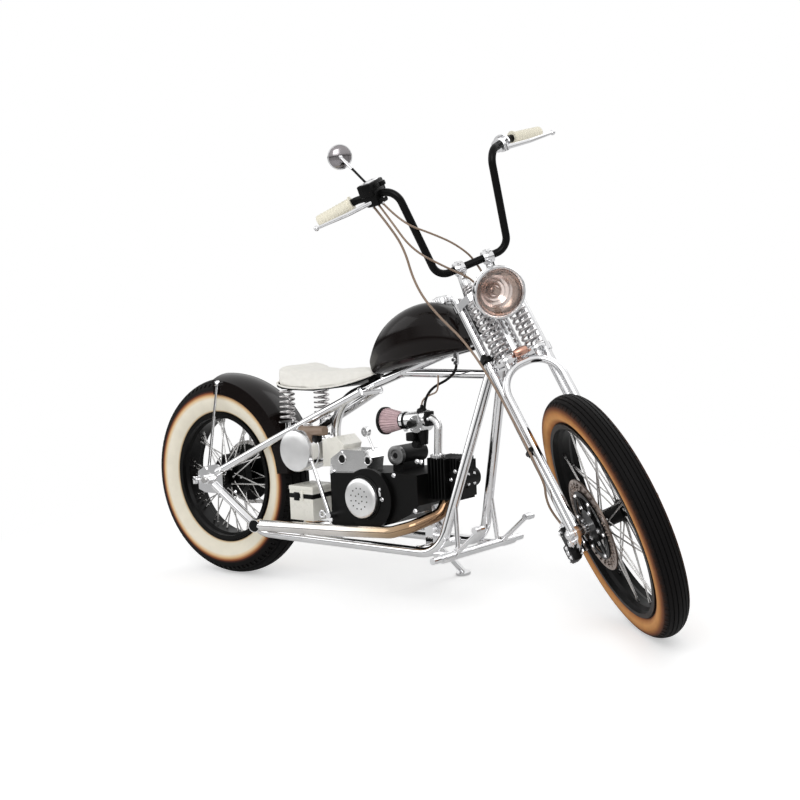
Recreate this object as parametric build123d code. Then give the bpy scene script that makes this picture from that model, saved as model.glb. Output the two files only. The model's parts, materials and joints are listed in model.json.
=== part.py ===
from build123d import *
import os
from math import atan2, cos, degrees, hypot, pi, radians, sin, sqrt, tan

# A small bobber motorcycle with a rigid rear frame and a spring fork.
# Millimetres and degrees. Pieces are drawn on the upright bike, steering straight: X forward, Y left,
# Z up, zero on the ground below the rear axle. Then the fork is turned and the whole bike is parked.

# Wheels
wheelbase = 1571.0
rear_tyre_radius = 331.5
rear_tyre_width = 124.0
rear_crown_radius = 64.0
rear_rim_radius = 215.0
rear_rim_width = 96.0
front_tyre_radius = 347.0
front_tyre_width = 82.0
front_crown_radius = 43.0
front_rim_radius = 279.0
front_rim_width = 72.0
rim_wall = 5.0
bead_depth = 8.0
well_depth = 12.0
spoke_radius = 2.2
rear_spokes = 40
front_spokes = 36
rear_flange_radius = 44.0
rear_flange_y = 34.0
rear_hub_radius = 30.0
rear_hub_end = 66.0
front_flange_radius = 34.0
front_flange_y = 30.0
front_hub_radius = 24.0
front_hub_end = 52.0
axle_radius = 10.0
running_gap = 0.08
side_gap = 0.5
sprocket_y = 78.0
sprocket_radius = 97.0
sprocket_thickness = 6.0
disc_y = -62.0
disc_radius = 130.0
disc_thickness = 5.0
disc_carrier_radius = 40.0

# Steering and fork
rake = 30.4
trail = 56.5
steering_turned_right = 42.24
neck_bottom = 866.0
neck_top = 1046.0
neck_radius = 27.0
stem_radius = 15.0
tree_thickness = 22.0
leg_clamp_radius = 19.0
rear_leg_radius = 14.0
rear_leg_spacing = 84.0
rear_leg_foot = 284.0
rear_leg_top = 1078.0
front_leg_radius = 11.0
front_leg_spacing = 86.0
front_leg_ahead = 46.0
front_leg_foot_ahead = 62.0
front_leg_foot = 300.0
arch_height = 828.0
arch_bend = 78.0
spring_spacing = 48.0
spring_radius = 27.0
spring_wire = 4.0
spring_turns = 10
rebound_turns = 3
rebound_wire = 3.0
spring_rod_radius = 8.0
perch_radius = 29.0
perch_above_arch = 18.0
perch_thickness = 8.0
rebound_radius = 18.0
rebound_length = 30.0
rocker_thickness = 12.0
rocker_width = 34.0
rocker_pivot_up = 300.0
rocker_y = 98.3
pivot_pin_radius = 8.0

# Handlebar and lamp
bar_radius = 11.0
bar_bend = 42.0
clamp_x = 1090.0
clamp_z = 1019.0
clamp_spacing = 45.0
clamp_radius = 18.0
clamp_width = 28.0
riser_radius = 12.0
grip_radius = 17.0
lamp_radius = 73.0
lamp_depth = 72.0
lamp_wall = 3.0
lamp_ahead = 147.0
lamp_up = 1012.0

# Frame
frame_tube_radius = 15.0
stay_tube_radius = 13.0
rail_height = 173.0
rail_spacing = 108.0
rail_front_x = 972.0
rail_rear_x = 246.0
rail_bend = 90.0
seat_tube_x = 484.0
seat_tube_corner_z = 594.0
backbone_bend = 140.0
plate_spacing = 106.0
plate_thickness = 8.0
cross_tube_xs = (345.0, seat_tube_x, 880.0)

# Parking
lean_left = 6.0
stand_pivot_x = 700.0
stand_foot_ahead = 780.0
stand_foot_out = 252.0
stand_foot_radius = 24.0
stand_foot_thickness = 8.0
stand_eye_radius = 17.0
stand_eye_width = 14.0
stand_bolt_radius = 8.0
stand_leg_radius = 9.0
stand_swing = 104.0

# Fuel tank
tank_rear_x = 684.0
tank_rear_z = 686.0
tank_slope = 12.2
mount_gap = 0.3
spring_gap = 0.1

# Rear fender
fender_radius = 341.0
fender_ahead = 10.0
fender_up = 6.5
fender_half = 71.0
fender_wall = 3.0
fender_crown = 19.0
fender_skirt = 48.0
fender_sweep = 87.0
fender_rear_angle = 92.0
strut_radius = 5.0
strut_top_x = 28.0
strut_top_z = 650.0

# Engine
case_right = -118.0
case_left = 62.0
drive_x = 632.0
drive_z = 306.0
drive_radius = 32.0
chain_half = 6.0
chain_band = 9.0
clutch_x = 706.0
clutch_z = 324.0
clutch_radius = 60.0
cylinder_rear = 905.0
cylinder_front = 975.0
cylinder_y = -15.0
head_front = 1026.0
fin_count = 6
fin_spacing = 12.0
fin_thickness = 4.0
exhaust_radius = 18.0
exhaust_y = -156.0

# Seat
seat_spring_x = 352.0
seat_spring_y = 80.0
seat_spring_foot = 537.0
seat_spring_top = 640.2
seat_spring_wire = 3.5

# Foot controls
peg_x = 1032.0
peg_z = 178.0
peg_half = 218.0
peg_end = 40.0
peg_end_radius = 10.0
peg_bar_radius = 13.0
pedal_y = 112.0

fork_foot = wheelbase + trail
ahead = Vector(cos(radians(rake)), 0, sin(radians(rake)))
steering_axis = Vector(-sin(radians(rake)), 0, cos(radians(rake)))
fork_frame = Plane(origin=(fork_foot, 0, 0), x_dir=ahead, z_dir=steering_axis)
rear_axle_at = Vector(0, 0, rear_tyre_radius)
front_axle_at = Vector(wheelbase, 0, front_tyre_radius)
axle_local = fork_frame.to_local_coords(front_axle_at)

solids = {}


def between(start, end, radius, end_radius=None):
    # A round bar or cone from one point to another
    start = Vector(*start)
    line = Vector(*end) - start
    if end_radius is None:
        return extrude(Plane(origin=start, z_dir=line) * Circle(radius), line.length)
    return Plane(origin=start, z_dir=line).location * Pos(0, 0, line.length / 2) * Cone(
        radius, end_radius, line.length)


def bent_tube(points, radius, bend):
    # A round tube along straight runs joined by arcs
    path = FilletPolyline(*points, radius=bend)
    section = Plane(origin=path @ 0, z_dir=path % 0) * Circle(radius)
    return sweep(section, path=path)


def coil(foot, top, foot_radius, top_radius, wire, turns):
    # A coil spring that stands on one point and ends below another
    foot = Vector(*foot)
    line = Vector(*top) - foot
    height = line.length - 2 * (wire + spring_gap)
    taper = degrees(atan2(foot_radius - top_radius, height))
    path = Helix(height / turns, height, foot_radius - wire, cone_angle=-taper)
    section = Plane(origin=path @ 0, z_dir=path % 0) * Circle(wire)
    wound = sweep(section, path=path, is_frenet=True)
    return Plane(origin=foot + line.normalized() * (wire + spring_gap), z_dir=line).location * wound


def across(x, z, y_low, y_high, radius):
    # A round bar along Y
    return between((x, y_low, z), (x, y_high, z), radius)


def side_plate(outline, y_low, y_high):
    # A flat plate cut from an outline drawn in X and Z
    face = make_face(Plane.XZ * Polyline(*outline, close=True))
    return Pos(0, y_low, 0) * extrude(face, y_high - y_low, dir=(0, 1, 0))


def block(x, y, z):
    # A box from its low and high values along each axis
    size = (x[1] - x[0], y[1] - y[0], z[1] - z[0])
    return Pos((x[0] + x[1]) / 2, (y[0] + y[1]) / 2, (z[0] + z[1]) / 2) * Box(*size)


def turned(profile, axis_at):
    # A round piece about Y, from a closed outline of radius and Y
    face = make_face(Plane.XY * Polyline(*profile, close=True))
    return Pos(*axis_at) * revolve(face, Axis.Y)


def mirrored(shape):
    return mirror(shape, about=Plane.XZ)


def fork_local(shape):
    return fork_frame.location * shape


def fork_point(along_ahead, y, up):
    return fork_frame.from_local_coords(Vector(along_ahead, y, up))


# Parking: the bike leans to the left and pitches until both tyres touch the floor
def tyre_bottom(tilt, centre, axle, radius, crown):
    spot = (tilt * Pos(*centre)).position
    direction = (tilt * Pos(*(centre + axle))).position - spot
    return spot.Z - (radius - crown) * sqrt(1 - direction.Z ** 2) - crown


def lowest_tyres(tilt):
    rear = tyre_bottom(tilt, rear_axle_at, Vector(0, 1, 0), rear_tyre_radius, rear_crown_radius)
    front = tyre_bottom(tilt, front_centre, front_axle_way, front_tyre_radius, front_crown_radius)
    return rear, front


steered = fork_frame.location * Rot(0, 0, -steering_turned_right) * fork_frame.location.inverse()
front_centre = (steered * Pos(*front_axle_at)).position
front_axle_way = (steered * Pos(*(front_axle_at + Vector(0, 1, 0)))).position - front_centre
pitch = 0.0
for step in range(6):
    rear_low, front_low = lowest_tyres(Rot(-lean_left, 0, 0) * Rot(0, pitch, 0))
    pitch += degrees(atan2(front_low - rear_low, wheelbase))
tilt = Rot(-lean_left, 0, 0) * Rot(0, pitch, 0)
parked = Pos(0, 0, -lowest_tyres(tilt)[0]) * tilt


# Wheels
def tyre(centre, radius, width, crown, rim_radius, rim_width):
    # A round-shouldered tyre whose beads stand on the rim's seats
    half = width / 2
    bead = rim_width / 2 - rim_wall - side_gap
    inner = rim_radius - bead_depth
    shoulder = radius - crown * 0.42
    sidewall = (radius + rim_radius) / 2 - 6
    foot = rim_radius + 4
    outline = [
        Line((inner, -bead), (foot, -bead)),
        ThreePointArc((foot, -bead), (sidewall, -half), (shoulder, -half * 0.88)),
        ThreePointArc((shoulder, -half * 0.88), (radius, 0), (shoulder, half * 0.88)),
        ThreePointArc((shoulder, half * 0.88), (sidewall, half), (foot, bead)),
        Line((foot, bead), (inner, bead)),
        Line((inner, bead), (inner, -bead)),
    ]
    return Pos(*centre) * revolve(make_face(outline), Axis.Y)


def rim(centre, radius, width):
    # A rolled rim with raised flanges, bead seats and a dropped well
    half = width / 2
    bed = radius - bead_depth - side_gap
    well = bed - well_depth
    outline = [
        (radius, -half), (radius, -half + rim_wall), (bed, -half + rim_wall), (bed, -half + 20),
        (well + rim_wall, -half + 28), (well + rim_wall, half - 28), (bed, half - 20),
        (bed, half - rim_wall), (radius, half - rim_wall), (radius, half),
        (bed - rim_wall, half), (bed - rim_wall, half - 16), (well, half - 25),
        (well, -half + 25), (bed - rim_wall, -half + 16), (bed - rim_wall, -half),
    ]
    return turned(outline, centre)


def wheel_centre(centre, flange_radius, flange_y, hub_radius, hub_end, rim_radius, count):
    # Hub with two flanges, and wire spokes laced across each other up to the rim's well
    bore = axle_radius + running_gap
    outline = [
        (bore, -hub_end), (hub_radius, -hub_end), (hub_radius, -flange_y - 4),
        (flange_radius, -flange_y - 4), (flange_radius, -flange_y + 4), (hub_radius, -flange_y + 10),
        (hub_radius, flange_y - 10), (flange_radius, flange_y - 4), (flange_radius, flange_y + 4),
        (hub_radius, flange_y + 4), (hub_radius, hub_end), (bore, hub_end),
    ]
    hub = turned(outline, (0, 0, 0))
    reach = rim_radius - bead_depth - side_gap - well_depth - 1
    wires = []
    for n in range(count):
        side = 1 if n % 2 else -1
        lacing = 1 if n % 4 < 2 else -1
        hub_angle = 2 * pi * n / count
        rim_angle = hub_angle + lacing * radians(30)
        hub_y = side * (flange_y + lacing * 3)
        start = ((flange_radius - 4) * cos(hub_angle), hub_y, (flange_radius - 4) * sin(hub_angle))
        end = (reach * cos(rim_angle), side * 8, reach * sin(rim_angle))
        wires.append(between(start, end, spoke_radius))
    return Pos(*centre) * (hub + wires)


solids["rear_tyre"] = tyre(rear_axle_at, rear_tyre_radius, rear_tyre_width, rear_crown_radius,
                           rear_rim_radius, rear_rim_width)
solids["rear_rim"] = rim(rear_axle_at, rear_rim_radius, rear_rim_width)
solids["rear_hub_and_spokes"] = wheel_centre(rear_axle_at, rear_flange_radius, rear_flange_y,
                                             rear_hub_radius, rear_hub_end, rear_rim_radius, rear_spokes)
rear_z = rear_tyre_radius
sprocket_face = sprocket_y + sprocket_thickness / 2
sprocket = across(0, rear_z, rear_hub_end, sprocket_face, rear_hub_radius + 8)
sprocket += across(0, rear_z, sprocket_face - sprocket_thickness, sprocket_face, sprocket_radius)
solids["rear_sprocket"] = sprocket - across(0, rear_z, 0, 200, axle_radius + running_gap)

solids["front_tyre"] = tyre(front_axle_at, front_tyre_radius, front_tyre_width, front_crown_radius,
                            front_rim_radius, front_rim_width)
solids["front_rim"] = rim(front_axle_at, front_rim_radius, front_rim_width)
solids["front_hub_and_spokes"] = wheel_centre(front_axle_at, front_flange_radius, front_flange_y,
                                              front_hub_radius, front_hub_end, front_rim_radius,
                                              front_spokes)
front_z = front_tyre_radius
disc_out = disc_y - disc_thickness / 2
disc = across(wheelbase, front_z, disc_out, -front_hub_end, disc_carrier_radius)
disc += across(wheelbase, front_z, disc_out, disc_out + disc_thickness, disc_radius)
solids["front_brake_disc"] = disc - across(wheelbase, front_z, -100, 0, axle_radius + running_gap)

# Frame tubes
neck = fork_local(extrude(Pos(0, 0, neck_bottom) * Circle(neck_radius), neck_top - neck_bottom))
neck_bore = fork_local(extrude(Pos(0, 0, neck_bottom - 5) * Circle(stem_radius + running_gap),
                               neck_top - neck_bottom + 10))
backbone_front = fork_point(0, 0, (neck_bottom + neck_top) / 2)
backbone = bent_tube([(backbone_front.X, 0, backbone_front.Z), (seat_tube_x, 0, seat_tube_corner_z),
                      (seat_tube_x, 0, rail_height)], frame_tube_radius, backbone_bend)
backbone_way = Vector(seat_tube_x, 0, seat_tube_corner_z) - backbone_front
backbone_way = backbone_way.normalized()
brace_front = fork_point(-80, 0, neck_bottom - 17)
brace_rear_x = 770.0
brace = between((brace_front.X, 0, brace_front.Z), (brace_rear_x, 0, brace_front.Z), stay_tube_radius)


def cradle(side):
    # Front down tube, lower rail and rear lower stay, bent from one tube
    join = fork_point(-8, side * 14, neck_bottom + 70)
    return bent_tube([
        (join.X, join.Y, join.Z),
        (rail_front_x, side * rail_spacing, rail_height),
        (rail_rear_x, side * rail_spacing, rail_height),
        (26, side * rail_spacing, rear_z - 17),
    ], frame_tube_radius, rail_bend)


def axle_plate(side):
    outline = [(-52, 296), (-20, 286), (40, 286), (66, 306), (66, 372), (36, 384), (-20, 372), (-52, 356)]
    low = plate_spacing - plate_thickness / 2
    plate = side_plate(outline, low, low + plate_thickness)
    return plate if side > 0 else mirrored(plate)


def upper_stay(side):
    return bent_tube([(40, side * plate_spacing, 357), (320, side * 87, 487.6),
                      (634, side * 43, 634)], stay_tube_radius, 300)


# Pivot of the side stand: its axis is square to the leg, both out on the floor and folded back
stand_pivot_floor = Vector(stand_pivot_x, rail_spacing, rail_height)
floor_spot = (parked * Pos(stand_foot_ahead, stand_foot_out, 0)).position
floor_spot = Vector(floor_spot.X, floor_spot.Y, stand_foot_thickness)
foot_at = (parked.inverse() * Pos(*floor_spot)).position
leg_way = (foot_at - stand_pivot_floor).normalized()
folded_way = Vector(-1, 0.17, 0.02).normalized()
stand_axis = leg_way.cross(folded_way).normalized()
boss_length = frame_tube_radius + 9
stand_pivot = stand_pivot_floor + stand_axis * (boss_length + stand_eye_width / 2)
bolt_start = stand_pivot_floor + stand_axis * boss_length
bolt_end = stand_pivot + stand_axis * (stand_eye_width / 2 + side_gap)

rails = {side: cradle(side) - neck for side in (1, -1)}
cross_tubes = [across(x, rail_height, -rail_spacing, rail_spacing, stay_tube_radius)
               for x in cross_tube_xs]
cross_set = cross_tubes[0] + cross_tubes[1] + cross_tubes[2]
axle_hole = across(0, rear_z, -200, 200, axle_radius)
plates = axle_plate(1) + axle_plate(-1)
stand_boss = between(stand_pivot_floor, bolt_start, 13)
stand_boss += between(bolt_start, bolt_end, stand_bolt_radius)
stand_boss += between(bolt_end, bolt_end + stand_axis * 6, 12)

solids["frame_backbone"] = neck + backbone + brace - neck_bore - rails[1] - rails[-1] - cross_set
solids["frame_right_cradle"] = rails[-1] - plates
solids["frame_left_cradle"] = rails[1] - plates + stand_boss
solids["frame_cross_tubes"] = cross_set - rails[1] - rails[-1]
stays = upper_stay(1) + upper_stay(-1) + across(630, 632, -43, 43, stay_tube_radius - 1.5)
for side in (1, -1):
    seat_x = seat_spring_x
    seat_y = side * seat_spring_y
    stays += between((seat_x, seat_y, 508), (seat_x, seat_y, seat_spring_foot), 9)
    stays += between((seat_x, seat_y, seat_spring_foot - 3), (seat_x, seat_y, seat_spring_foot), 30)
solids["frame_upper_stays"] = stays + plates - solids["frame_backbone"] - axle_hole

# Rear axle with its nuts and spacers
plate_out = plate_spacing + plate_thickness / 2
plate_in = plate_spacing - plate_thickness / 2
axle_rod = across(0, rear_z, -plate_out - 26, plate_out + 26, axle_radius)
axle_rod += across(0, rear_z, plate_out, plate_out + 14, 16)
axle_rod += across(0, rear_z, -plate_out - 14, -plate_out, 16)
axle_rod += across(0, rear_z, -plate_in, -rear_hub_end - side_gap, 17)
axle_rod += across(0, rear_z, sprocket_face + side_gap, plate_in, 17)
solids["rear_axle"] = axle_rod

# Engine
case_outline = [(561, 384), (561, 232), (573, 220), (694, 225), (755, 237), (814, 254), (874, 283),
                (cylinder_rear, 312), (cylinder_rear, 402), (811, 404), (566, 389)]
crankcase = side_plate(case_outline, case_right, case_left)
crankcase += across(722, 321, case_right - 14, case_right, 92)
crankcase += across(790, 320, case_left, case_left + 36, 74)
crankcase += across(795, 450, -80, 40, 29)
crankcase += block((775, 815), (-70, 30), (395, 430))
crankcase += across(drive_x, drive_z, case_left, sprocket_y + sprocket_thickness / 2, 14)
crankcase += across(drive_x, drive_z, sprocket_y - sprocket_thickness / 2,
                    sprocket_y + sprocket_thickness / 2, drive_radius)
crankcase += block((866, 894), (-40, 40), (rail_height, 310))
crankcase += block((seat_tube_x, 575), (-9, 9), (300, 345))
solids["engine_crankcase"] = crankcase - cross_set - solids["frame_backbone"]
casting_outline = [(547, 380), (554, 431), (601, 461), (687, 462), (706, 439), (696, 380)]
solids["gearbox_casting"] = side_plate(casting_outline, -105, -30) - solids["engine_crankcase"]
cylinder = between((cylinder_rear, cylinder_y, 382), (cylinder_front, cylinder_y, 388), 50)
for n in range(fin_count):
    fin_x = cylinder_rear + fin_spacing / 2 + n * fin_spacing
    cylinder += Pos(fin_x, cylinder_y, 387) * Box(fin_thickness, 116, 122)
solids["engine_cylinder"] = cylinder - crankcase
head = block((cylinder_front - 3, head_front - 8), (-50, 20), (334, 441))
for n in range(3):
    head += Pos(cylinder_front + 8 + n * 10, cylinder_y, 387) * Box(fin_thickness, 84, 124)
head += across(1000, 387, -57, 27, 30)
head += between((head_front - 8, cylinder_y, 387), (head_front, cylinder_y, 387), 28)
solids["engine_head"] = head - solids["engine_cylinder"]
solids["clutch_cover"] = across(clutch_x, clutch_z, case_right - 34, case_right - 14, clutch_radius)
carburettor = across(862, 545, -62, -8, 26) + between((803, -35, 551), (890, -35, 562), 24)
intake = bent_tube([(885, -35, 562), (928, -35, 562), (928, -45, 440)], 12, 32)
intake += between((928, -45, 444), (928, -45, 456), 22)
solids["carburettor"] = carburettor + intake - solids["engine_head"] - solids["engine_cylinder"]
filter_cone = between((694, -35, 546), (803, -35, 551), 42, 21)
solids["air_filter"] = filter_cone - solids["carburettor"]

exhaust_points = [(948, -18, 340), (936, -52, 280), (885, -128, 250), (830, exhaust_y, 233),
                  (640, exhaust_y, 222), (250, exhaust_y, 206)]
exhaust = bent_tube(exhaust_points, exhaust_radius, 45)
exhaust -= between((240, exhaust_y, 205.6), (400, exhaust_y, 212.2), exhaust_radius - 2.5)
exhaust_hanger = between((430, exhaust_y + 14, 208), (430, -rail_spacing, rail_height), 6)
solids["exhaust_pipe"] = (exhaust + exhaust_hanger - solids["engine_head"]
                          - solids["engine_cylinder"] - rails[-1])

# Drive chain: one closed loop round both sprockets
front_pitch = drive_radius + mount_gap
rear_pitch = sprocket_radius + 1


def chain_outline(rear, front):
    span = hypot(drive_x, drive_z - rear_z)
    dip = atan2(drive_z - rear_z, drive_x)
    spread = atan2(sqrt(span ** 2 - (rear - front) ** 2), rear - front)
    corners = []
    for angle in (dip + spread, dip - spread):
        corners.append((rear * cos(angle), rear_z + rear * sin(angle)))
        corners.append((drive_x + front * cos(angle), drive_z + front * sin(angle)))
    band = make_face(Plane.XZ * Polyline(corners[0], corners[1], corners[3], corners[2], close=True))
    band = extrude(band, 2 * chain_half, dir=(0, 1, 0))
    loop = Pos(0, sprocket_y - chain_half, 0) * band
    loop += across(0, rear_z, sprocket_y - chain_half, sprocket_y + chain_half, rear)
    loop += across(drive_x, drive_z, sprocket_y - chain_half, sprocket_y + chain_half, front)
    return loop


solids["drive_chain"] = (chain_outline(rear_pitch + chain_band, front_pitch + chain_band)
                         - chain_outline(rear_pitch, front_pitch))


# Fuel tank: rounded sections along a line that rises to the neck
def tank_section(along, half_width, height):
    outline = RectangleRounded(2 * half_width, height, min(half_width, height / 2) * 0.8)
    return Plane(origin=(along, 0, height / 2), x_dir=(0, 1, 0), z_dir=(1, 0, 0)) * outline


# Columns: distance from the rear, half width, height
tank_stations = [(0, 44, 60), (105, 94, 136), (230, 112, 166), (320, 92, 146), (366, 54, 88)]
tank_frame = Plane(origin=(tank_rear_x, 0, tank_rear_z),
                   x_dir=(cos(radians(tank_slope)), 0, sin(radians(tank_slope))),
                   z_dir=(-sin(radians(tank_slope)), 0, cos(radians(tank_slope))))
tank = tank_frame.location * loft([tank_section(*station) for station in tank_stations])
tunnel_radius = frame_tube_radius + mount_gap
tunnel_face = Circle(tunnel_radius) + Pos(0, 60) * Rectangle(2 * tunnel_radius, 120)
tunnel_plane = Plane(origin=backbone_front, x_dir=(0, 1, 0), z_dir=backbone_way)
solids["fuel_tank"] = tank - extrude(tunnel_plane * tunnel_face, 560)
cap_place = tank_frame.location * Pos(288, 0, 138)
solids["fuel_cap"] = cap_place * extrude(Circle(28), 32) - tank

fuel_tap = between((1000, -34, 722), (1000, -34, 770), 8) + across(1000, 736, -50, -34, 5)
solids["fuel_tap"] = fuel_tap - solids["fuel_tank"]
hose_points = [(1000, -34, 721.9), (1000, -34, 690), (880, -42, 640), (880, -40, 580)]
solids["fuel_hose"] = bent_tube(hose_points, 4, 18) - solids["carburettor"]

# Seat: pan, cushion and the two springs below it
seat_half = [(322, -88), (334, -104), (360, -109), (400, -103), (480, -90), (560, -60), (640, -30),
             (672, -24)]
seat_plan = make_face(Polyline(*(seat_half + [(x, -y) for x, y in reversed(seat_half)]), close=True))
seat_column = extrude(Pos(0, 0, 500) * seat_plan, 400)
pan_top = [(322, 662), (338, 650), (390, 643), (480, 641), (560, 650), (600, 659), (640, 673), (672, 685)]
pan_bottom = [(x, z - 4) for x, z in reversed(pan_top)]
cushion_top = [(672, 706), (600, 700), (540, 694), (480, 689), (400, 693), (350, 706), (322, 716)]
seat_pan = side_plate(pan_top + pan_bottom, -200, 200) & seat_column
seat_pan += block((640, 668), (-12, 12), (655, 690)) - side_plate(pan_top + cushion_top, -20, 20)
for side in (1, -1):
    seat_y = side * seat_spring_y
    seat_pan += (between((seat_spring_x, seat_y, seat_spring_top), (seat_spring_x, seat_y, 660), 17)
                 - side_plate(pan_top + cushion_top, -200, 200))
solids["seat_cushion"] = side_plate(pan_top + cushion_top, -200, 200) & seat_column
solids["seat_pan"] = seat_pan - solids["frame_backbone"] - solids["frame_upper_stays"]
springs = [coil((seat_spring_x, side * seat_spring_y, seat_spring_foot),
                (seat_spring_x, side * seat_spring_y, seat_spring_top), 26, 26, seat_spring_wire, 6)
           for side in (1, -1)]
solids["seat_springs"] = springs[0] + springs[1]

# Rear fender and its struts
skirt = fender_radius - fender_crown - fender_skirt
inner_crown = fender_crown + 2
inner_half = fender_half - fender_wall
fender_profile = [
    Line((skirt, -fender_half), (fender_radius - fender_crown, -fender_half)),
    ThreePointArc((fender_radius - fender_crown, -fender_half), (fender_radius, 0),
                  (fender_radius - fender_crown, fender_half)),
    Line((fender_radius - fender_crown, fender_half), (skirt, fender_half)),
    Line((skirt, fender_half), (skirt, inner_half)),
    Line((skirt, inner_half), (fender_radius - inner_crown, inner_half)),
    ThreePointArc((fender_radius - inner_crown, inner_half), (fender_radius - fender_wall, 0),
                  (fender_radius - inner_crown, -inner_half)),
    Line((fender_radius - inner_crown, -inner_half), (skirt, -inner_half)),
    Line((skirt, -inner_half), (skirt, -fender_half)),
]
fender_ring = revolve(make_face(fender_profile), Axis.Y, revolution_arc=fender_sweep)
fender_centre = rear_axle_at + Vector(fender_ahead, 0, fender_up)
solids["rear_fender"] = Pos(*fender_centre) * Rot(0, -fender_rear_angle, 0) * fender_ring
strut_out = fender_half + mount_gap
struts = [between((-12, side * (plate_in - strut_radius), 366),
                  (strut_top_x, side * (strut_out + strut_radius), strut_top_z), strut_radius)
          for side in (1, -1)]
strut_eye = across(strut_top_x, strut_top_z, strut_out, strut_out + 10, 10)
strut_pair = struts[0] + struts[1] + strut_eye + mirrored(strut_eye)
solids["fender_struts"] = strut_pair - solids["frame_upper_stays"]

# Canister, battery box and coil beside the seat tube
solids["oil_canister"] = across(428, 451, -132, -frame_tube_radius - mount_gap, 64)
box_front = seat_tube_x - frame_tube_radius - mount_gap
electrics = block((box_front - 100, box_front), (-104, 2), (227, 333))
coil_rear = seat_tube_x + frame_tube_radius + mount_gap
solids["electrics_boxes"] = electrics
side_box_outline = [(coil_rear, 400), (coil_rear, 486), (561, 498), (589, 472), (574, 431), (534, 403)]
solids["side_box"] = side_plate(side_box_outline, -82, 2) - solids["gearbox_casting"]

# Foot controls: one bar across the frame with slimmer ends, two hanger rods, brake pedal, shift lever
foot_controls = across(peg_x, peg_z, -peg_half + peg_end, peg_half - peg_end, peg_bar_radius)
foot_controls += across(peg_x, peg_z, -peg_half, peg_half, peg_end_radius)
for side in (1, -1):
    foot_controls += between((1018, side * 86, 340), (peg_x, side * 98, peg_z), 7)
    foot_controls += between((rail_front_x - 20, side * rail_spacing, rail_height),
                             (peg_x, side * rail_spacing, peg_z), 9)
    toe = Vector(peg_x + 95, side * pedal_y, peg_z + 84)
    foot_controls += between((peg_x, side * pedal_y, peg_z), toe, 7)
    foot_controls += across(toe.X, toe.Z, min(toe.Y - 8, toe.Y - 8 + side * 24),
                            max(toe.Y + 8, toe.Y + 8 + side * 24), 9)
solids["foot_controls"] = foot_controls - rails[1] - rails[-1]

# Side stand
leg_start = stand_pivot + leg_way * 16
foot_mark = (parked.inverse() * Pos(floor_spot.X, floor_spot.Y, 0)).position
world_up = (parked.inverse() * Pos(floor_spot.X, floor_spot.Y, 1)).position - foot_mark
eye = between(stand_pivot - stand_axis * (stand_eye_width / 2 - side_gap / 2),
              stand_pivot + stand_axis * (stand_eye_width / 2 - side_gap / 2), stand_eye_radius)
eye_bore = between(stand_pivot - stand_axis * 30, stand_pivot + stand_axis * 30,
                   stand_bolt_radius + running_gap)
stand = between(leg_start, foot_mark + world_up * stand_foot_thickness, stand_leg_radius)
stand += eye - eye_bore
stand += between(foot_mark, foot_mark + world_up * stand_foot_thickness, stand_foot_radius)
solids["side_stand"] = stand


# Fork: two trees on the stem, straight rear legs, sprung front legs joined by an arch
def tree_plate(outline, bottom):
    plate = make_face(Polyline(*outline, close=True)) + Circle(neck_radius)
    for side in (1, -1):
        plate += Pos(0, side * rear_leg_spacing) * Circle(leg_clamp_radius)
    return extrude(Pos(0, 0, bottom) * plate, tree_thickness)


lower_tree_bottom = neck_bottom - side_gap - tree_thickness
upper_tree_bottom = neck_top + side_gap
upper_tree_top = upper_tree_bottom + tree_thickness
reach = rear_leg_spacing
tip = front_leg_ahead + rebound_radius
trees = tree_plate([(-17, -reach), (12, -reach), (12, reach), (-17, reach)], lower_tree_bottom)
trees += tree_plate([(-17, -reach), (12, -reach - 12), (tip, -spring_spacing - 16),
                     (tip, spring_spacing + 16), (12, reach + 12), (-17, reach)], upper_tree_bottom)
trees += extrude(Pos(0, 0, lower_tree_bottom + 4) * Circle(stem_radius),
                 upper_tree_top - lower_tree_bottom - 8)
rear_legs = [between((0, side * rear_leg_spacing, rear_leg_foot),
                     (0, side * rear_leg_spacing, rear_leg_top), rear_leg_radius) for side in (1, -1)]
rear_leg_pair = rear_legs[0] + rear_legs[1]
front_legs = bent_tube([
    (front_leg_foot_ahead, front_leg_spacing, front_leg_foot),
    (front_leg_ahead, front_leg_spacing, arch_height),
    (front_leg_ahead, -front_leg_spacing, arch_height),
    (front_leg_foot_ahead, -front_leg_spacing, front_leg_foot),
], front_leg_radius, arch_bend)
perch_top = arch_height + perch_above_arch + perch_thickness
rod_top = upper_tree_top + rebound_length
for side in (1, -1):
    y = side * spring_spacing
    front_legs += between((front_leg_ahead, y, arch_height - 16), (front_leg_ahead, y, rod_top + 10),
                          spring_rod_radius)
    front_legs += between((front_leg_ahead, y, perch_top - perch_thickness),
                          (front_leg_ahead, y, perch_top), perch_radius)
    front_legs += between((front_leg_ahead, y, rod_top), (front_leg_ahead, y, rod_top + 10), 14)
springs = []
for side in (1, -1):
    y = side * spring_spacing
    springs.append(coil((front_leg_ahead, y, perch_top), (front_leg_ahead, y, upper_tree_bottom),
                        spring_radius, spring_radius, spring_wire, spring_turns))
    springs.append(coil((front_leg_ahead, y, upper_tree_top), (front_leg_ahead, y, rod_top),
                        rebound_radius, rebound_radius, rebound_wire, rebound_turns))

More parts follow.
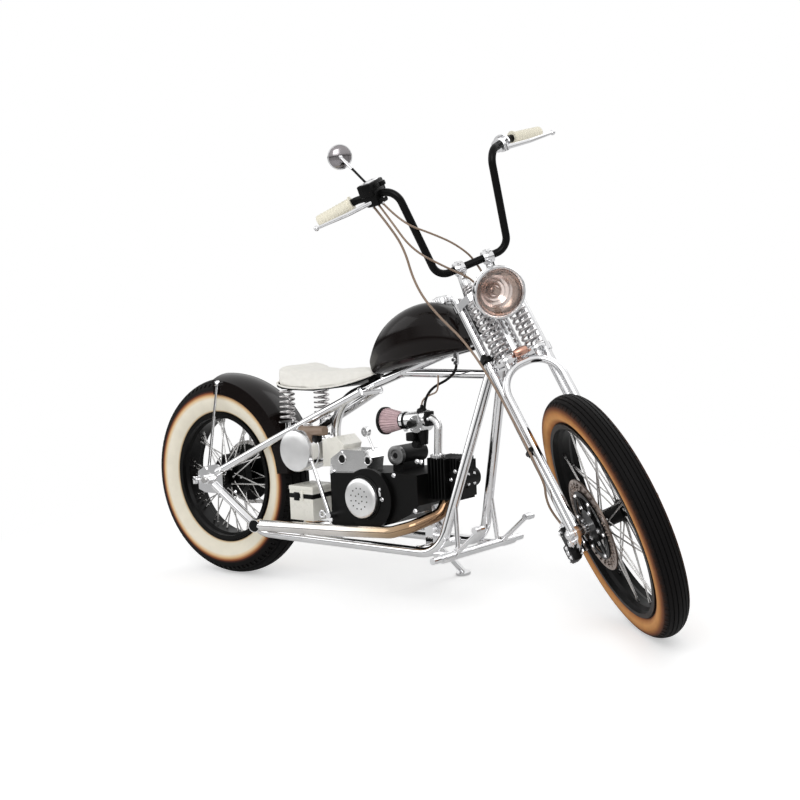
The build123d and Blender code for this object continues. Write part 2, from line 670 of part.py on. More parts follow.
# Rockers, their pins and the front axle
rocker_span = hypot(axle_local.X, axle_local.Z - rocker_pivot_up)
rocker_rise = degrees(atan2(axle_local.Z - rocker_pivot_up, axle_local.X))
rocker_face = SlotCenterToCenter(rocker_span, rocker_width)
axle_bar = between((axle_local.X, -128, axle_local.Z), (axle_local.X, 128, axle_local.Z), axle_radius)
rockers = axle_bar
for side in (1, -1):
    low = rocker_y if side > 0 else -rocker_y - rocker_thickness
    plane = Plane(origin=(axle_local.X / 2, low, (axle_local.Z + rocker_pivot_up) / 2),
                  x_dir=(cos(radians(rocker_rise)), 0, sin(radians(rocker_rise))), z_dir=(0, 1, 0))
    rockers += extrude(plane * rocker_face, rocker_thickness)
    out = side * (rocker_y + rocker_thickness + 6)
    rockers += between((0, side * rear_leg_spacing, rocker_pivot_up), (0, out, rocker_pivot_up),
                       pivot_pin_radius)
    rockers += between((front_leg_foot_ahead, side * front_leg_spacing, rocker_pivot_up + 14),
                       (front_leg_foot_ahead, out, rocker_pivot_up + 14), pivot_pin_radius)
spacer_left = front_hub_end + side_gap
rockers += between((axle_local.X, spacer_left, axle_local.Z), (axle_local.X, rocker_y, axle_local.Z), 15)
rockers += between((axle_local.X, -rocker_y, axle_local.Z), (axle_local.X, disc_out - side_gap,
                                                              axle_local.Z), 15)
solids["fork_trees"] = fork_local(trees - rear_leg_pair - front_legs)
solids["fork_rear_legs"] = fork_local(rear_leg_pair - rockers)
solids["fork_front_legs"] = fork_local(front_legs - rockers)
solids["fork_springs"] = fork_local(springs[0] + springs[1] + springs[2] + springs[3])
solids["fork_rockers"] = fork_local(rockers)

# Handlebar: ape hanger bends with swept grips, on two risers
half_bar = [(clamp_x - 10, 112, clamp_z), (1104, 146, 1300), (1002, 240, 1297), (952, 345, 1276)]
bar_points = [(x, -y, z) for x, y, z in reversed(half_bar)] + half_bar
bar = bent_tube(bar_points, bar_radius, bar_bend)
riser_foot = fork_point(-14, 0, upper_tree_top - 2)
handlebar = bar
for side in (1, -1):
    y = side * clamp_spacing
    handlebar += between((riser_foot.X, y, riser_foot.Z), (clamp_x - 8, y, clamp_z), riser_radius)
    handlebar += across(clamp_x - 8, clamp_z, y - clamp_width / 2, y + clamp_width / 2, clamp_radius)
solids["handlebar"] = handlebar - solids["fork_trees"]
grip_inner = Vector(*half_bar[2])
grip_outer = Vector(*half_bar[3])
grip_way = (grip_outer - grip_inner).normalized()
grip = between(grip_inner + grip_way * 14, grip_outer + grip_way * 6, grip_radius)
solids["grips"] = grip + mirrored(grip) - bar
control_spot = (Vector(*half_bar[1]) + grip_inner) * 0.5
controls = between(control_spot + Vector(-24, 22, 0), control_spot + Vector(8, -8, 0), 19)
lever_end = grip_outer + Vector(46, 29, -10)
controls += between(control_spot + Vector(10, 10, -14), lever_end, 5) + Pos(*lever_end) * Sphere(8)
reservoir = Pos(*(control_spot + Vector(-4, 4, 22))) * Rot(0, 0, -42) * Box(34, 58, 26)
perch_way = (grip_inner - Vector(*half_bar[1])).normalized()
left_flange = between(control_spot + perch_way * 16, control_spot + perch_way * 24, 25)
solids["hand_controls"] = controls + left_flange + mirrored(controls + reservoir) - bar
mirror_base = control_spot + Vector(-4, 4, 30)
mirror_at = fork_point(120, -227, 1576)
mirror_foot = Vector(mirror_base.X, -mirror_base.Y, mirror_base.Z)
mirror_stem = between(mirror_foot, mirror_at - Vector(0, 0, 30), 4)
mirror_head = between(mirror_at - Vector(7, 0, 0), mirror_at + Vector(7, 0, 0), 36)
solids["mirror"] = mirror_stem + mirror_head - solids["hand_controls"] - bar

# Brake hose and cables, from the right control down the fork
brake_hose = bent_tube([(136, -210, 1402), (140, -195, 1330), (118, -178, 1250), (80, -188, 1160),
                        (65, -176, 1072), (60, -112, 900), (60, -104, 499), (10, -112, 462),
                        (-41, -103, 420), (-41, -90, 371)], 3.5, 22)
throttle = bent_tube([(150, -197, 1396), (172, -190, 1323), (140, -166, 1227), (90, -88, 1157),
                      (22, -12, 1112), (22, -12, 1068.6)], 3, 24)
wiring = bent_tube([(158, -187, 1391), (178, -168, 1300), (120, -88, 1256), (80, -29, 1213),
                    (14, 20, 1165), (14, 20, 1068.6)], 3, 24)

# Headlight: a bowl that faces forward, with its glass
lamp_centre = fork_point(lamp_ahead, 0, lamp_up)
bowl_outer = [(0, -lamp_depth), (34, -lamp_depth + 5), (58, -lamp_depth + 24), (70, -24),
              (lamp_radius, -6), (lamp_radius, 3)]
bowl_inner = [(lamp_radius - 7, 3), (lamp_radius - 7, -6), (67, -24), (55, -lamp_depth + 26),
              (32, -lamp_depth + 5 + lamp_wall), (0, -lamp_depth + lamp_wall)]
lamp_turn = Pos(*lamp_centre) * Rot(0, 0, -90)
bowl = lamp_turn * revolve(make_face(Polyline(*(bowl_outer + bowl_inner), close=True)), Axis.Y)
lamp_bracket = between(fork_point(tip - 14, 0, upper_tree_bottom + 10),
                       fork_point(lamp_ahead - 54, 0, lamp_up + 32), 9)
solids["headlight_shell"] = bowl + lamp_bracket - solids["fork_trees"]
lens_radius = lamp_radius - 7 - mount_gap
lens_outline = [(0, -4), (lens_radius, -4), (lens_radius, 2), (40, 8), (0, 11)]
solids["headlight_lens"] = lamp_turn * revolve(make_face(Polyline(*lens_outline, close=True)), Axis.Y)

# Brake caliper behind the rear leg, with its pads astride the disc's edge
caliper = Pos(-40.25, -75, 330) * Box(43.5, 62, 84)
caliper += Pos(0, -49.75, 330) * Box(44, 11.5, 60)
caliper += Pos(-12, -84, 340) * Box(24, 20, 40)
caliper -= between((axle_local.X, disc_out - 4, axle_local.Z), (axle_local.X, disc_out + 9,
                                                                axle_local.Z), disc_radius + 3)
solids["brake_caliper"] = fork_local(caliper - rear_leg_pair - rockers)
hand_parts = fork_frame.location.inverse() * solids["hand_controls"]
solids["brake_hose"] = fork_local(brake_hose - hand_parts - caliper)
solids["control_cables"] = fork_local(throttle + wiring - hand_parts)

bodies = {
    "fork": ["fork_trees", "fork_rear_legs", "fork_front_legs", "fork_springs", "fork_rockers",
             "handlebar", "grips", "hand_controls", "mirror", "headlight_shell", "headlight_lens",
             "brake_caliper", "brake_hose", "control_cables"],
    "front_wheel": ["front_tyre", "front_rim", "front_hub_and_spokes", "front_brake_disc"],
}
turned_nodes = bodies["fork"] + bodies["front_wheel"]
placed = {}
for name, shape in solids.items():
    placed[name] = parked * (steered * shape if name in turned_nodes else shape)
boxes = [shape.bounding_box() for shape in placed.values()]
low = [min(getattr(box.min, way) for box in boxes) for way in "XYZ"]
high = [max(getattr(box.max, way) for box in boxes) for way in "XYZ"]
centring = Pos(-(low[0] + high[0]) / 2, -(low[1] + high[1]) / 2, -low[2])
os.makedirs("parts", exist_ok=True)
for name, shape in placed.items():
    export_step(centring * shape, f"parts/{name}.step")


def report(label, point, way):
    spot = (centring * parked * Pos(*point)).position
    end = (centring * parked * Pos(*(point + way))).position - spot
    print(label, [round(v / 1000, 6) for v in spot], [round(v, 6) for v in end])


report("rear_wheel", rear_axle_at, Vector(0, 1, 0))
report("front_wheel", front_centre, front_axle_way)
report("steering", fork_point(0, 0, 900), steering_axis)
report("side_stand", stand_pivot, stand_axis)
print("pitch", round(pitch, 4), "centring", centring.position, "box", low, high)
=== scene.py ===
import json
import math

import bmesh
import bpy
from mathutils import Matrix, Vector


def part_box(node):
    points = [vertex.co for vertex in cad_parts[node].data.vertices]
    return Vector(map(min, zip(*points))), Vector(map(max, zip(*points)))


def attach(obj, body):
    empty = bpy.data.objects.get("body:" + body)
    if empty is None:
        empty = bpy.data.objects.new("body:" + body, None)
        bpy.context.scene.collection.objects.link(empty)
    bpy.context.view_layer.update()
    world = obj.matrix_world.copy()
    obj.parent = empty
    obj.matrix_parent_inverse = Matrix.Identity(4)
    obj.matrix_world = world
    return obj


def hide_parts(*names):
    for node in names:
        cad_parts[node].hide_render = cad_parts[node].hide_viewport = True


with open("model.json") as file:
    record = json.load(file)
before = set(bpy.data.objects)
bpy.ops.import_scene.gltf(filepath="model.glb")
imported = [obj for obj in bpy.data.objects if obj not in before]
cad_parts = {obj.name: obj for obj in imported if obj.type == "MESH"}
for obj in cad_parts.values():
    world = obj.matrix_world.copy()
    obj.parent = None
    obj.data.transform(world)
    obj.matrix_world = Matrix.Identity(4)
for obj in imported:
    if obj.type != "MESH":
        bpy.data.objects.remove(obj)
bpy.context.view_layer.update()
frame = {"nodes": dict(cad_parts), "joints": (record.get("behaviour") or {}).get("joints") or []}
shift = Matrix.Translation

# Where the parked bike stands: drawn upright in millimetres, then leaned and set on the floor
parking = {"lean": 6.0, "pitch": 0.0477, "rearAxleHeight": 331.5, "frontAxle": (1571, 0, 347), "rake": 30.4,
           "axisFoot": 1627.5, "turnedRight": 42.24}
jointAt = {joint["name"]: Vector(joint["pos_m"]) for joint in frame["joints"]}
leanTurn = (Matrix.Rotation(math.radians(-parking["lean"]), 4, "X")
            @ Matrix.Rotation(math.radians(parking["pitch"]), 4, "Y"))
millimetres = Matrix.Scale(0.001, 4)
rearAxle = Vector((0, 0, parking["rearAxleHeight"]))
bikeToRow = shift(jointAt["rear_wheel_spin"]) @ leanTurn @ millimetres @ shift(-rearAxle)
rakeTurn = Matrix.Rotation(math.radians(-parking["rake"]), 4, "Y")
forkStraight = shift((parking["axisFoot"], 0, 0)) @ rakeTurn
steerTurn = Matrix.Rotation(math.radians(-parking["turnedRight"]), 4, "Z")
forkToRow = bikeToRow @ forkStraight @ steerTurn  # ahead, left and up the steering axis
barsToRow = forkToRow @ forkStraight.inverted()  # bike millimetres, turned with the fork
upAlongY = Matrix.Rotation(math.radians(-90), 4, "X")  # a turned shape's axis to the left
downAlongY = upAlongY.inverted()  # to the right
upAlongX = Matrix.Rotation(math.radians(90), 4, "Y")  # and ahead
right, left, ahead, behind, up, down = (0, -1, 0), (0, 1, 0), (1, 0, 0), (-1, 0, 0), (0, 0, 1), (0, 0, -1)
rearWheelToRow = bikeToRow @ shift(rearAxle)
frontWheelToRow = barsToRow @ shift(parking["frontAxle"])
bodyToRow = {"frame": bikeToRow, "fork": forkToRow, "front_wheel": frontWheelToRow, "rear_wheel": rearWheelToRow}


# Camera at the photo's viewing angle
cameraSet = {"eye": (3489.93, -3257.88, 994.43), "azimuth": 40.03, "pitch": 5.19, "roll": -2.24,
             "lens": 63.307}


def makeCamera():
    az, pitch, roll = (math.radians(cameraSet[k]) for k in ("azimuth", "pitch", "roll"))
    look = Vector((-math.sin(az) * math.cos(pitch), math.cos(az) * math.cos(pitch), -math.sin(pitch)))
    side = Vector((math.cos(az), math.sin(az), 0))
    rise = side.cross(look)
    rolledSide = side * math.cos(roll) + rise * math.sin(roll)
    rolledUp = rise * math.cos(roll) - side * math.sin(roll)
    turn = Matrix((rolledSide, rolledUp, -look)).transposed().to_4x4()
    lens = bpy.data.cameras.new("photoCamera")
    lens.sensor_width = 36
    lens.lens = cameraSet["lens"]
    lens.clip_end = 60
    camera = bpy.data.objects.new("photoCamera", lens)
    bpy.context.scene.collection.objects.link(camera)
    place = bikeToRow @ Vector(cameraSet["eye"])
    camera.matrix_world = shift(place) @ leanTurn @ turn
    bpy.context.scene.camera = camera


makeCamera()
print("camera placed")

# Studio: pale floor, white surroundings, soft lamps
studio = {"floorTone": 0.9, "floorGlow": 0.42, "whiteFrom": 1.15, "whiteBy": 2.1, "surroundings": 0.5,
          "below": 0.75, "horizon": ((0.455, 0.7), (0.49, 0.03), (0.525, 0.04), (0.57, 0.9)),
          "floorSize": 9, "floorDrop": 0.001, "aimAt": (0, 0, 0.5),
          "lamps": {"keyLamp": ((2.2, -2.6, 3.0), 52, 2.2), "fillLamp": ((-2.8, -2.0, 2.2), 22, 2.6),
                    "backLamp": ((0.3, 3.0, 3.0), 26, 2.6)}}


def addNode(tree, kind, inputs=None, **settings):
    node = tree.nodes.new("ShaderNode" + kind)
    for name, value in settings.items():
        setattr(node, name, value)
    for name, source in (inputs or {}).items():
        if isinstance(source, bpy.types.NodeSocket):
            tree.links.new(source, node.inputs[name])
        else:
            node.inputs[name].default_value = source
    return node


def calculate(tree, operation, *sources):
    return addNode(tree, "Math", dict(enumerate(sources)), operation=operation).outputs[0]


def cameraOrGlass(tree):
    paths = addNode(tree, "LightPath").outputs
    return paths, calculate(tree, "MAXIMUM", paths["Is Camera Ray"], paths["Is Transmission Ray"])


def makeWorld():
    world = bpy.data.worlds.new("studioWorld")
    bpy.context.scene.world = world
    world.use_nodes = True
    tree = world.node_tree
    tree.nodes.clear()
    paths, seen = cameraOrGlass(tree)
    split = addNode(tree, "SeparateXYZ", {0: addNode(tree, "TexCoord").outputs["Generated"]})
    height = calculate(tree, "MULTIPLY_ADD", split.outputs["Z"], 0.5, 0.5)
    bands = addNode(tree, "ValToRGB", {0: height})  # pale sky, darker horizon: what polished metal mirrors
    stops = bands.color_ramp.elements
    stops[0].color = [studio["below"]] * 3 + [1]
    stops[1].color = (1, 1, 1, 1)
    for position, tone in studio["horizon"]:
        stops.new(position).color = (tone, tone, tone, 1)
    glossMix = addNode(tree, "Mix", {"A": [studio["surroundings"]] * 3 + [1], "B": bands.outputs[0],
                                     "Factor": paths["Is Glossy Ray"]}, data_type="RGBA")
    whiteMix = addNode(tree, "Mix", {"A": glossMix.outputs["Result"], "B": (1, 1, 1, 1), "Factor": seen},
                       data_type="RGBA")
    background = addNode(tree, "Background", {"Color": whiteMix.outputs["Result"]})
    addNode(tree, "OutputWorld", {"Surface": background.outputs[0]})


def makeFloor():
    bm = bmesh.new()
    bmesh.ops.create_grid(bm, x_segments=1, y_segments=1, size=studio["floorSize"])
    bmesh.ops.translate(bm, vec=(0, 0, -studio["floorDrop"]), verts=bm.verts)
    mesh = bpy.data.meshes.new("studioFloor")
    bm.to_mesh(mesh)
    bm.free()
    floor = bpy.data.objects.new("studioFloor", mesh)
    bpy.context.scene.collection.objects.link(floor)
    paint = bpy.data.materials.new("floorPaint")
    paint.use_nodes = True
    tree = paint.node_tree
    tree.nodes.clear()
    matte = addNode(tree, "BsdfDiffuse", {"Color": [studio["floorTone"]] * 3 + [1]})
    seen = cameraOrGlass(tree)[1]
    glow = addNode(tree, "Emission", {"Strength": calculate(tree, "MULTIPLY", seen, studio["floorGlow"])})
    near = addNode(tree, "AddShader", {0: matte.outputs[0], 1: glow.outputs[0]})
    reach = addNode(tree, "VectorMath", {0: addNode(tree, "TexCoord").outputs["Object"]}, operation="LENGTH")
    spread = addNode(tree, "MapRange", {"From Min": studio["whiteFrom"], "From Max": studio["whiteBy"],
                                        "Value": reach.outputs["Value"]}, interpolation_type="SMOOTHSTEP")
    far = calculate(tree, "MULTIPLY", spread.outputs["Result"], seen)
    both = addNode(tree, "MixShader", {0: far, 1: near.outputs[0], 2: addNode(tree, "Emission").outputs[0]})
    addNode(tree, "OutputMaterial", {"Surface": both.outputs[0]})
    mesh.materials.append(paint)


def makeLamps():
    for name, (spot, power, size) in studio["lamps"].items():
        light = bpy.data.lights.new(name, "AREA")
        light.energy = power
        light.size = size
        lamp = bpy.data.objects.new(name, light)
        bpy.context.scene.collection.objects.link(lamp)
        way = Vector(studio["aimAt"]) - Vector(spot)
        lamp.matrix_world = shift(spot) @ way.to_track_quat("-Z", "Y").to_matrix().to_4x4()


bpy.context.scene.view_settings.view_transform = "Standard"
makeWorld()
makeFloor()
makeLamps()
print("studio lit")


# Finishes: slot, color, metal, roughness and its spread, grain in millimetres, bump
rubberBlack = (0.0045, 0.004, 0.004)
finishes = {
    "brightChrome": ("chrome", (0.86, 0.86, 0.87), 1, 0.08, 0.06, 18, 0.004),
    "heatedChrome": ("chrome", (0.86, 0.86, 0.87), 1, 0.12, 0.08, 14, 0.004),
    "satinChrome": ("chrome", (0.93, 0.93, 0.93), 1, 0.34, 0.08, 9, 0.01),
    # the springs are chrome: this darker, rougher copy of chrome is painted shade for their dark outlines
    "springChromePaintedShade": ("steel", (0.6, 0.58, 0.58), 1, 0.22, 0.1, 7, 0.02),
    "greySteel": ("steel", (0.2, 0.2, 0.2), 1, 0.34, 0.12, 6, 0.03),
    "brightSteel": ("steel", (0.66, 0.65, 0.64), 1, 0.26, 0.12, 7, 0.02),
    "brownedSteel": ("steel", (0.36, 0.29, 0.25), 1, 0.34, 0.14, 6, 0.03),
    "wornCopper": ("steel", (0.74, 0.42, 0.32), 1, 0.3, 0.12, 6, 0.03),
    "polishedCasting": ("polished_alloy", (0.86, 0.86, 0.86), 1, 0.22, 0.12, 9, 0.02),
    "blackCasting": ("black_casting", (0.003, 0.003, 0.003), 0, 0.4, 0.14, 2.5, 0.06),
    "blackPowder": ("black_powder_coat", (0.003, 0.003, 0.003), 0, 0.34, 0.1, 5, 0.02),
    "blackLacquer": ("dark_brown_lacquer", (0.007, 0.0045, 0.004), 0, 0.18, 0.06, 26, 0.004),
    "rearTyreRubber": ("tyre_rubber", rubberBlack, 0, 0.62, 0.15, 5, 0.05),
    "frontTyreRubber": ("tyre_rubber", rubberBlack, 0, 0.62, 0.15, 5, 0.05),
    "blackRubber": ("black_rubber", (0.004, 0.004, 0.004), 0, 0.5, 0.12, 4, 0.04),
    "tanSheath": ("black_rubber", (0.30, 0.21, 0.15), 0, 0.36, 0.1, 6, 0.03),
    "creamRubber": ("cream_rubber", (0.95, 0.9, 0.74), 0, 0.45, 0.1, 9, 0.015),
    "creamPaint": ("cream_paint", (0.94, 0.92, 0.84), 0, 0.28, 0.1, 16, 0.01),
    "creamLeather": ("cream_leather", (0.97, 0.95, 0.89), 0, 0.44, 0.1, 2.2, 0.05),
    "mirrorBack": ("mirror_glass", (0.34, 0.32, 0.33), 1, 0.2, 0.08, 20, 0.005),
    "mirrorGlass": ("mirror_glass", (0.72, 0.73, 0.75), 1, 0.03, 0.02, 20, 0),
    "filterGauze": ("filter_gauze", (0.66, 0.48, 0.50), 0.5, 0.42, 0.15, 2, 0.25),
    # a darker copy of the reflector for its outer ring and the bulb: painted shade
    "reflectorPaintedShade": ("lamp_glass", (0.36, 0.27, 0.23), 1, 0.22, 0.1, 6, 0.02),
    "brightReflector": ("lamp_glass", (0.92, 0.8, 0.76), 1, 0.16, 0.08, 5, 0.01),
    "lampGlass": ("lamp_glass", (0.98, 0.97, 0.96), 0, 0.03, 0.02, 12, 0.006),
}
# What some have besides: bands of color along the bike or by radius, a gloss, less wear, glass
extras = {
    "heatedChrome": {"measure": "along", "place": bikeToRow, "span": (0.24, 0.96),
                     "bands": ((0.0, (0.86, 0.85, 0.85)), (0.55, (0.84, 0.8, 0.76)), (0.75, (0.62, 0.48, 0.34)),
                               (0.88, (0.45, 0.3, 0.18)), (0.97, (0.28, 0.17, 0.1)))},
    "blackCasting": {"specular": 0.15}, "blackPowder": {"specular": 0.12}, "blackRubber": {"specular": 0.15},
    "blackLacquer": {"coat": 0.12, "specular": 0.15},
    "rearTyreRubber": {"specular": 0.1, "wear": 0.04, "measure": "radius", "place": rearWheelToRow,
                       "span": (0.20, 0.35),
                       "bands": ((0.0, rubberBlack), (0.135, rubberBlack), (0.15, (0.8, 0.6, 0.36)),
                                 (0.18, (0.95, 0.89, 0.74)), (0.42, (0.96, 0.9, 0.76)), (0.49, (0.86, 0.6, 0.32)),
                                 (0.54, (0.42, 0.15, 0.06)), (0.58, (0.06, 0.02, 0.015)), (0.62, rubberBlack))},
    "frontTyreRubber": {"specular": 0.1, "wear": 0.08, "measure": "radius", "place": frontWheelToRow,
                        "span": (0.26, 0.36),
                        "bands": ((0.0, rubberBlack), (0.21, rubberBlack), (0.25, (0.5, 0.19, 0.07)),
                                  (0.38, (0.72, 0.36, 0.13)), (0.5, (0.6, 0.27, 0.09)), (0.62, (0.22, 0.08, 0.035)),
                                  (0.7, (0.03, 0.016, 0.012)), (0.76, rubberBlack))},
    "creamRubber": {"wear": 0.03}, "creamLeather": {"wear": 0.03}, "creamPaint": {"coat": 0.4, "wear": 0.04},
    "lampGlass": {"glass": 1.0},
}
surface = {"fine": 1000, "fineDetail": 5, "broad": 130, "broadDetail": 3, "noiseSpan": (0.3, 0.7), "wear": 0.14,
           "lightest": 1.03, "coatRough": 0.05, "bumpStrength": 5, "bumpDistance": 0.006}


def bandColor(tree, look):
    local = (look["place"] @ Matrix.Scale(1000, 4)).inverted()  # from the row frame to the wheel's or the bike's own
    turn = addNode(tree, "Mapping", {"Location": local.to_translation(), "Rotation": local.to_euler("XYZ"),
                                     "Vector": addNode(tree, "TexCoord").outputs["Object"]})
    split = addNode(tree, "SeparateXYZ", {0: turn.outputs[0]})
    measured = split.outputs["X"]
    if look["measure"] == "radius":
        flat = addNode(tree, "CombineXYZ", {"X": split.outputs["X"], "Z": split.outputs["Z"]})
        measured = addNode(tree, "VectorMath", {0: flat.outputs[0]}, operation="LENGTH").outputs["Value"]
    low, high = look["span"]
    spread = addNode(tree, "MapRange", {"From Min": low, "From Max": high, "Value": measured})
    ramp = addNode(tree, "ValToRGB", {"Fac": spread.outputs["Result"]})
    stops = ramp.color_ramp.elements
    stops.remove(stops[1])
    (stops[0].position, color), *others = look["bands"]
    stops[0].color = (*color, 1)
    for position, color in others:
        stops.new(position).color = (*color, 1)
    return ramp.outputs["Color"]


def addNoise(tree, place, scale, detail):
    noise = addNode(tree, "TexNoise", {"Scale": scale, "Detail": detail, "Vector": place.outputs["Object"]})
    return noise.outputs["Fac"]


def makeFinish(name, look):
    material = bpy.data.materials.new(name)
    material.use_nodes = True
    tree = material.node_tree
    place = addNode(tree, "TexCoord")
    grain = addNoise(tree, place, surface["fine"] / look["grain"], surface["fineDetail"])
    broad = addNoise(tree, place, surface["broad"] / look["grain"], surface["broadDetail"])
    low, high = surface["noiseSpan"]
    tone = addNode(tree, "MapRange", {"From Min": low, "From Max": high, "Value": broad,
                                      "To Min": 1 - look.get("wear", surface["wear"]), "To Max": surface["lightest"]})
    color = bandColor(tree, look) if "bands" in look else look["color"]
    worn = addNode(tree, "VectorMath", {0: color, "Scale": tone.outputs["Result"]}, operation="SCALE")
    half = look["roughVary"] / 2
    spread = addNode(tree, "MapRange", {"To Min": max(0.0, look["rough"] - half), "To Max": look["rough"] + half,
                                        "Value": grain})
    shader = tree.nodes["Principled BSDF"]
    tree.links.new(worn.outputs["Vector"], shader.inputs["Base Color"])
    tree.links.new(spread.outputs["Result"], shader.inputs["Roughness"])
    shader.inputs["Metallic"].default_value = look["metal"]
    shader.inputs["Specular IOR Level"].default_value = look.get("specular", 0.5)
    shader.inputs["Transmission Weight"].default_value = look.get("glass", 0.0)
    shader.inputs["Coat Weight"].default_value = look.get("coat", 0.0)
    shader.inputs["Coat Roughness"].default_value = surface["coatRough"]
    if look["bump"]:
        bump = addNode(tree, "Bump", {"Strength": min(1.0, look["bump"] * surface["bumpStrength"]),
                                      "Distance": look["bump"] * surface["bumpDistance"], "Height": grain})
        tree.links.new(bump.outputs["Normal"], shader.inputs["Normal"])
    return material


rowKeys = ("slot", "color", "metal", "rough", "roughVary", "grain", "bump")
looks = {name: {**dict(zip(rowKeys, row)), **extras.get(name, {})} for name, row in finishes.items()}
materials = {name: makeFinish(name, look) for name, look in looks.items()}

finishNodes = {
    "brightChrome": ("frame_backbone", "frame_right_cradle", "frame_left_cradle", "frame_upper_stays",
                     "frame_cross_tubes", "fuel_cap", "fuel_tap", "fender_struts", "oil_canister", "foot_controls",
                     "side_stand", "fork_trees", "fork_rear_legs", "fork_front_legs", "fork_rockers",
                     "hand_controls", "headlight_shell"),
    # chrome springs in the darker copy of chrome: painted shade
    "springChromePaintedShade": ("fork_springs", "seat_springs"),
    "heatedChrome": ("exhaust_pipe",),
    "blackLacquer": ("fuel_tank", "rear_fender"),
    "blackPowder": ("seat_pan", "rear_rim", "front_rim", "handlebar"),
    "blackCasting": ("engine_crankcase", "engine_cylinder", "engine_head", "rear_sprocket", "brake_caliper"),
    "polishedCasting": ("clutch_cover", "carburettor", "gearbox_casting"),
    "brightSteel": ("rear_axle", "drive_chain", "rear_hub_and_spokes", "front_hub_and_spokes", "front_brake_disc"),
    "rearTyreRubber": ("rear_tyre",), "frontTyreRubber": ("front_tyre",), "blackRubber": ("fuel_hose",),
    "tanSheath": ("brake_hose", "control_cables"), "creamRubber": ("grips",),
    "creamPaint": ("side_box", "electrics_boxes"), "creamLeather": ("seat_cushion",),
    "mirrorGlass": ("mirror", "headlight_lens"), "filterGauze": ("air_filter",),
}
for finish, nodeNames in finishNodes.items():
    for node in nodeNames:
        cadMesh = frame["nodes"][node].data
        cadMesh.materials.clear()
        cadMesh.materials.append(materials[finish])

# Faces that a second finish covers: the black hubs, and the bright front mount of the engine
hubs = {"rear": (46, 60), "front": (37, 50)}
frontMount = {"from": 863, "to": 897, "below": 285}


def paintFaces(node, finish, place, chosen):
    cadMesh = frame["nodes"][node].data
    cadMesh.materials.append(materials[finish])
    local = place.inverted() @ frame["nodes"][node].matrix_world
    for face in cadMesh.polygons:
        if chosen(local @ face.center):
            face.material_index = 1


def nearHub(reach, wide):
    return lambda spot: math.hypot(spot.x, spot.z) < reach and abs(spot.y) < wide


def onFrontMount(spot):
    return frontMount["from"] < spot.x < frontMount["to"] and spot.z < frontMount["below"]


paintFaces("rear_hub_and_spokes", "blackPowder", rearWheelToRow, nearHub(*hubs["rear"]))
paintFaces("front_hub_and_spokes", "blackPowder", frontWheelToRow, nearHub(*hubs["front"]))
paintFaces("engine_crankcase", "brightChrome", bikeToRow, onFrontMount)
print("finishes on", sum(len(names) for names in finishNodes.values()), "of", len(frame["nodes"]), "nodes")


# Shapes are drawn in millimetres and put in place by a matrix
def aim(start, end):
    turn = (Vector(end) - Vector(start)).to_track_quat("Z", "Y").to_matrix().to_4x4()
    return shift(start) @ turn


def joinShape(bm, shape, place):
    bmesh.ops.remove_doubles(shape, verts=shape.verts, dist=0.001)
    shape.transform(place)
    held = bpy.data.meshes.new("held")
    shape.to_mesh(held)
    shape.free()
    bm.from_mesh(held)
    bpy.data.meshes.remove(held)


def addRod(bm, start, end, radius, endRadius=None, sides=20):
    length = (Vector(end) - Vector(start)).length
    bmesh.ops.create_cone(bm, cap_ends=True, segments=sides, radius1=radius,
                          radius2=radius if endRadius is None else endRadius, depth=length,
                          matrix=aim(start, end) @ shift((0, 0, length / 2)))


def addTurned(bm, profile, place, steps=32, closed=False):
    shape = bmesh.new()
    corners = [shape.verts.new((radius, 0, height)) for radius, height in profile]
    ends = corners[1:] + corners[:1] if closed else corners[1:]
    edges = [shape.edges.new(pair) for pair in zip(corners, ends)]
    bmesh.ops.spin(shape, geom=corners + edges, cent=(0, 0, 0), axis=(0, 0, 1), dvec=(0, 0, 0),
                   angle=math.tau, steps=steps, use_merge=True, use_duplicate=False)
    joinShape(bm, shape, place)


def addRing(bm, place, radius, wire, steps=32, sides=10):
    section = [(radius + wire * math.cos(math.tau * n / sides), wire * math.sin(math.tau * n / sides))
               for n in range(sides)]
    addTurned(bm, section, place, steps, closed=True)


def addBlock(bm, size, place, edge=2.0):
    shape = bmesh.new()
    bmesh.ops.create_cube(shape, size=1, matrix=Matrix.Diagonal((*size, 1)))
    bmesh.ops.bevel(shape, geom=shape.edges[:], offset=edge, offset_type="OFFSET", affect="EDGES",
                    segments=2, profile=0.5, material=-1)
    joinShape(bm, shape, place)


def addBlocks(bm, rows):
    for size, spot, edge in rows:
        addBlock(bm, size, shift(spot), edge)


def addBall(bm, spot, radius):
    bmesh.ops.create_uvsphere(bm, u_segments=20, v_segments=12, radius=radius, matrix=shift(spot))


def addBolt(bm, spot, way, radius, height):
    place = aim(spot, Vector(spot) + Vector(way))
    addTurned(bm, [(0, -1), (radius * 1.3, -1), (radius * 1.3, 1.2), (0, 1.2)], place, 16)
    addTurned(bm, [(0, 1), (radius, 1), (radius, height - 1.5), (radius * 0.78, height), (0, height)], place, 6)


def addBolts(bm, spots, way, radius, height):
    for spot in spots:
        addBolt(bm, spot, way, radius, height)


def roundSpots(count, radius, centre=(0, 0, 0), start=0.5):
    angles = [math.tau * (n + start) / count for n in range(count)]
    return [Vector(centre) + Vector((radius * math.cos(angle), 0, radius * math.sin(angle))) for angle in angles]


def addDomeNut(bm, spot, way, radius, height):
    place = aim(spot, Vector(spot) + Vector(way))
    addTurned(bm, [(0, -1), (radius * 1.2, -1), (radius * 1.2, 1.5), (0, 1.5)], place, 24)
    addTurned(bm, [(0, 1), (radius, 1), (radius, height * 0.45), (0, height * 0.45)], place, 6)
    addTurned(bm, [(radius * 0.86, height * 0.4), (radius * 0.8, height * 0.7), (radius * 0.5, height * 0.93),
                   (0, height)], place, 20)


def declarePiece(piece, body, replaced):
    bpy.context.scene.collection.objects.link(piece)
    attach(piece, body)
    if replaced:
        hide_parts(*replaced)


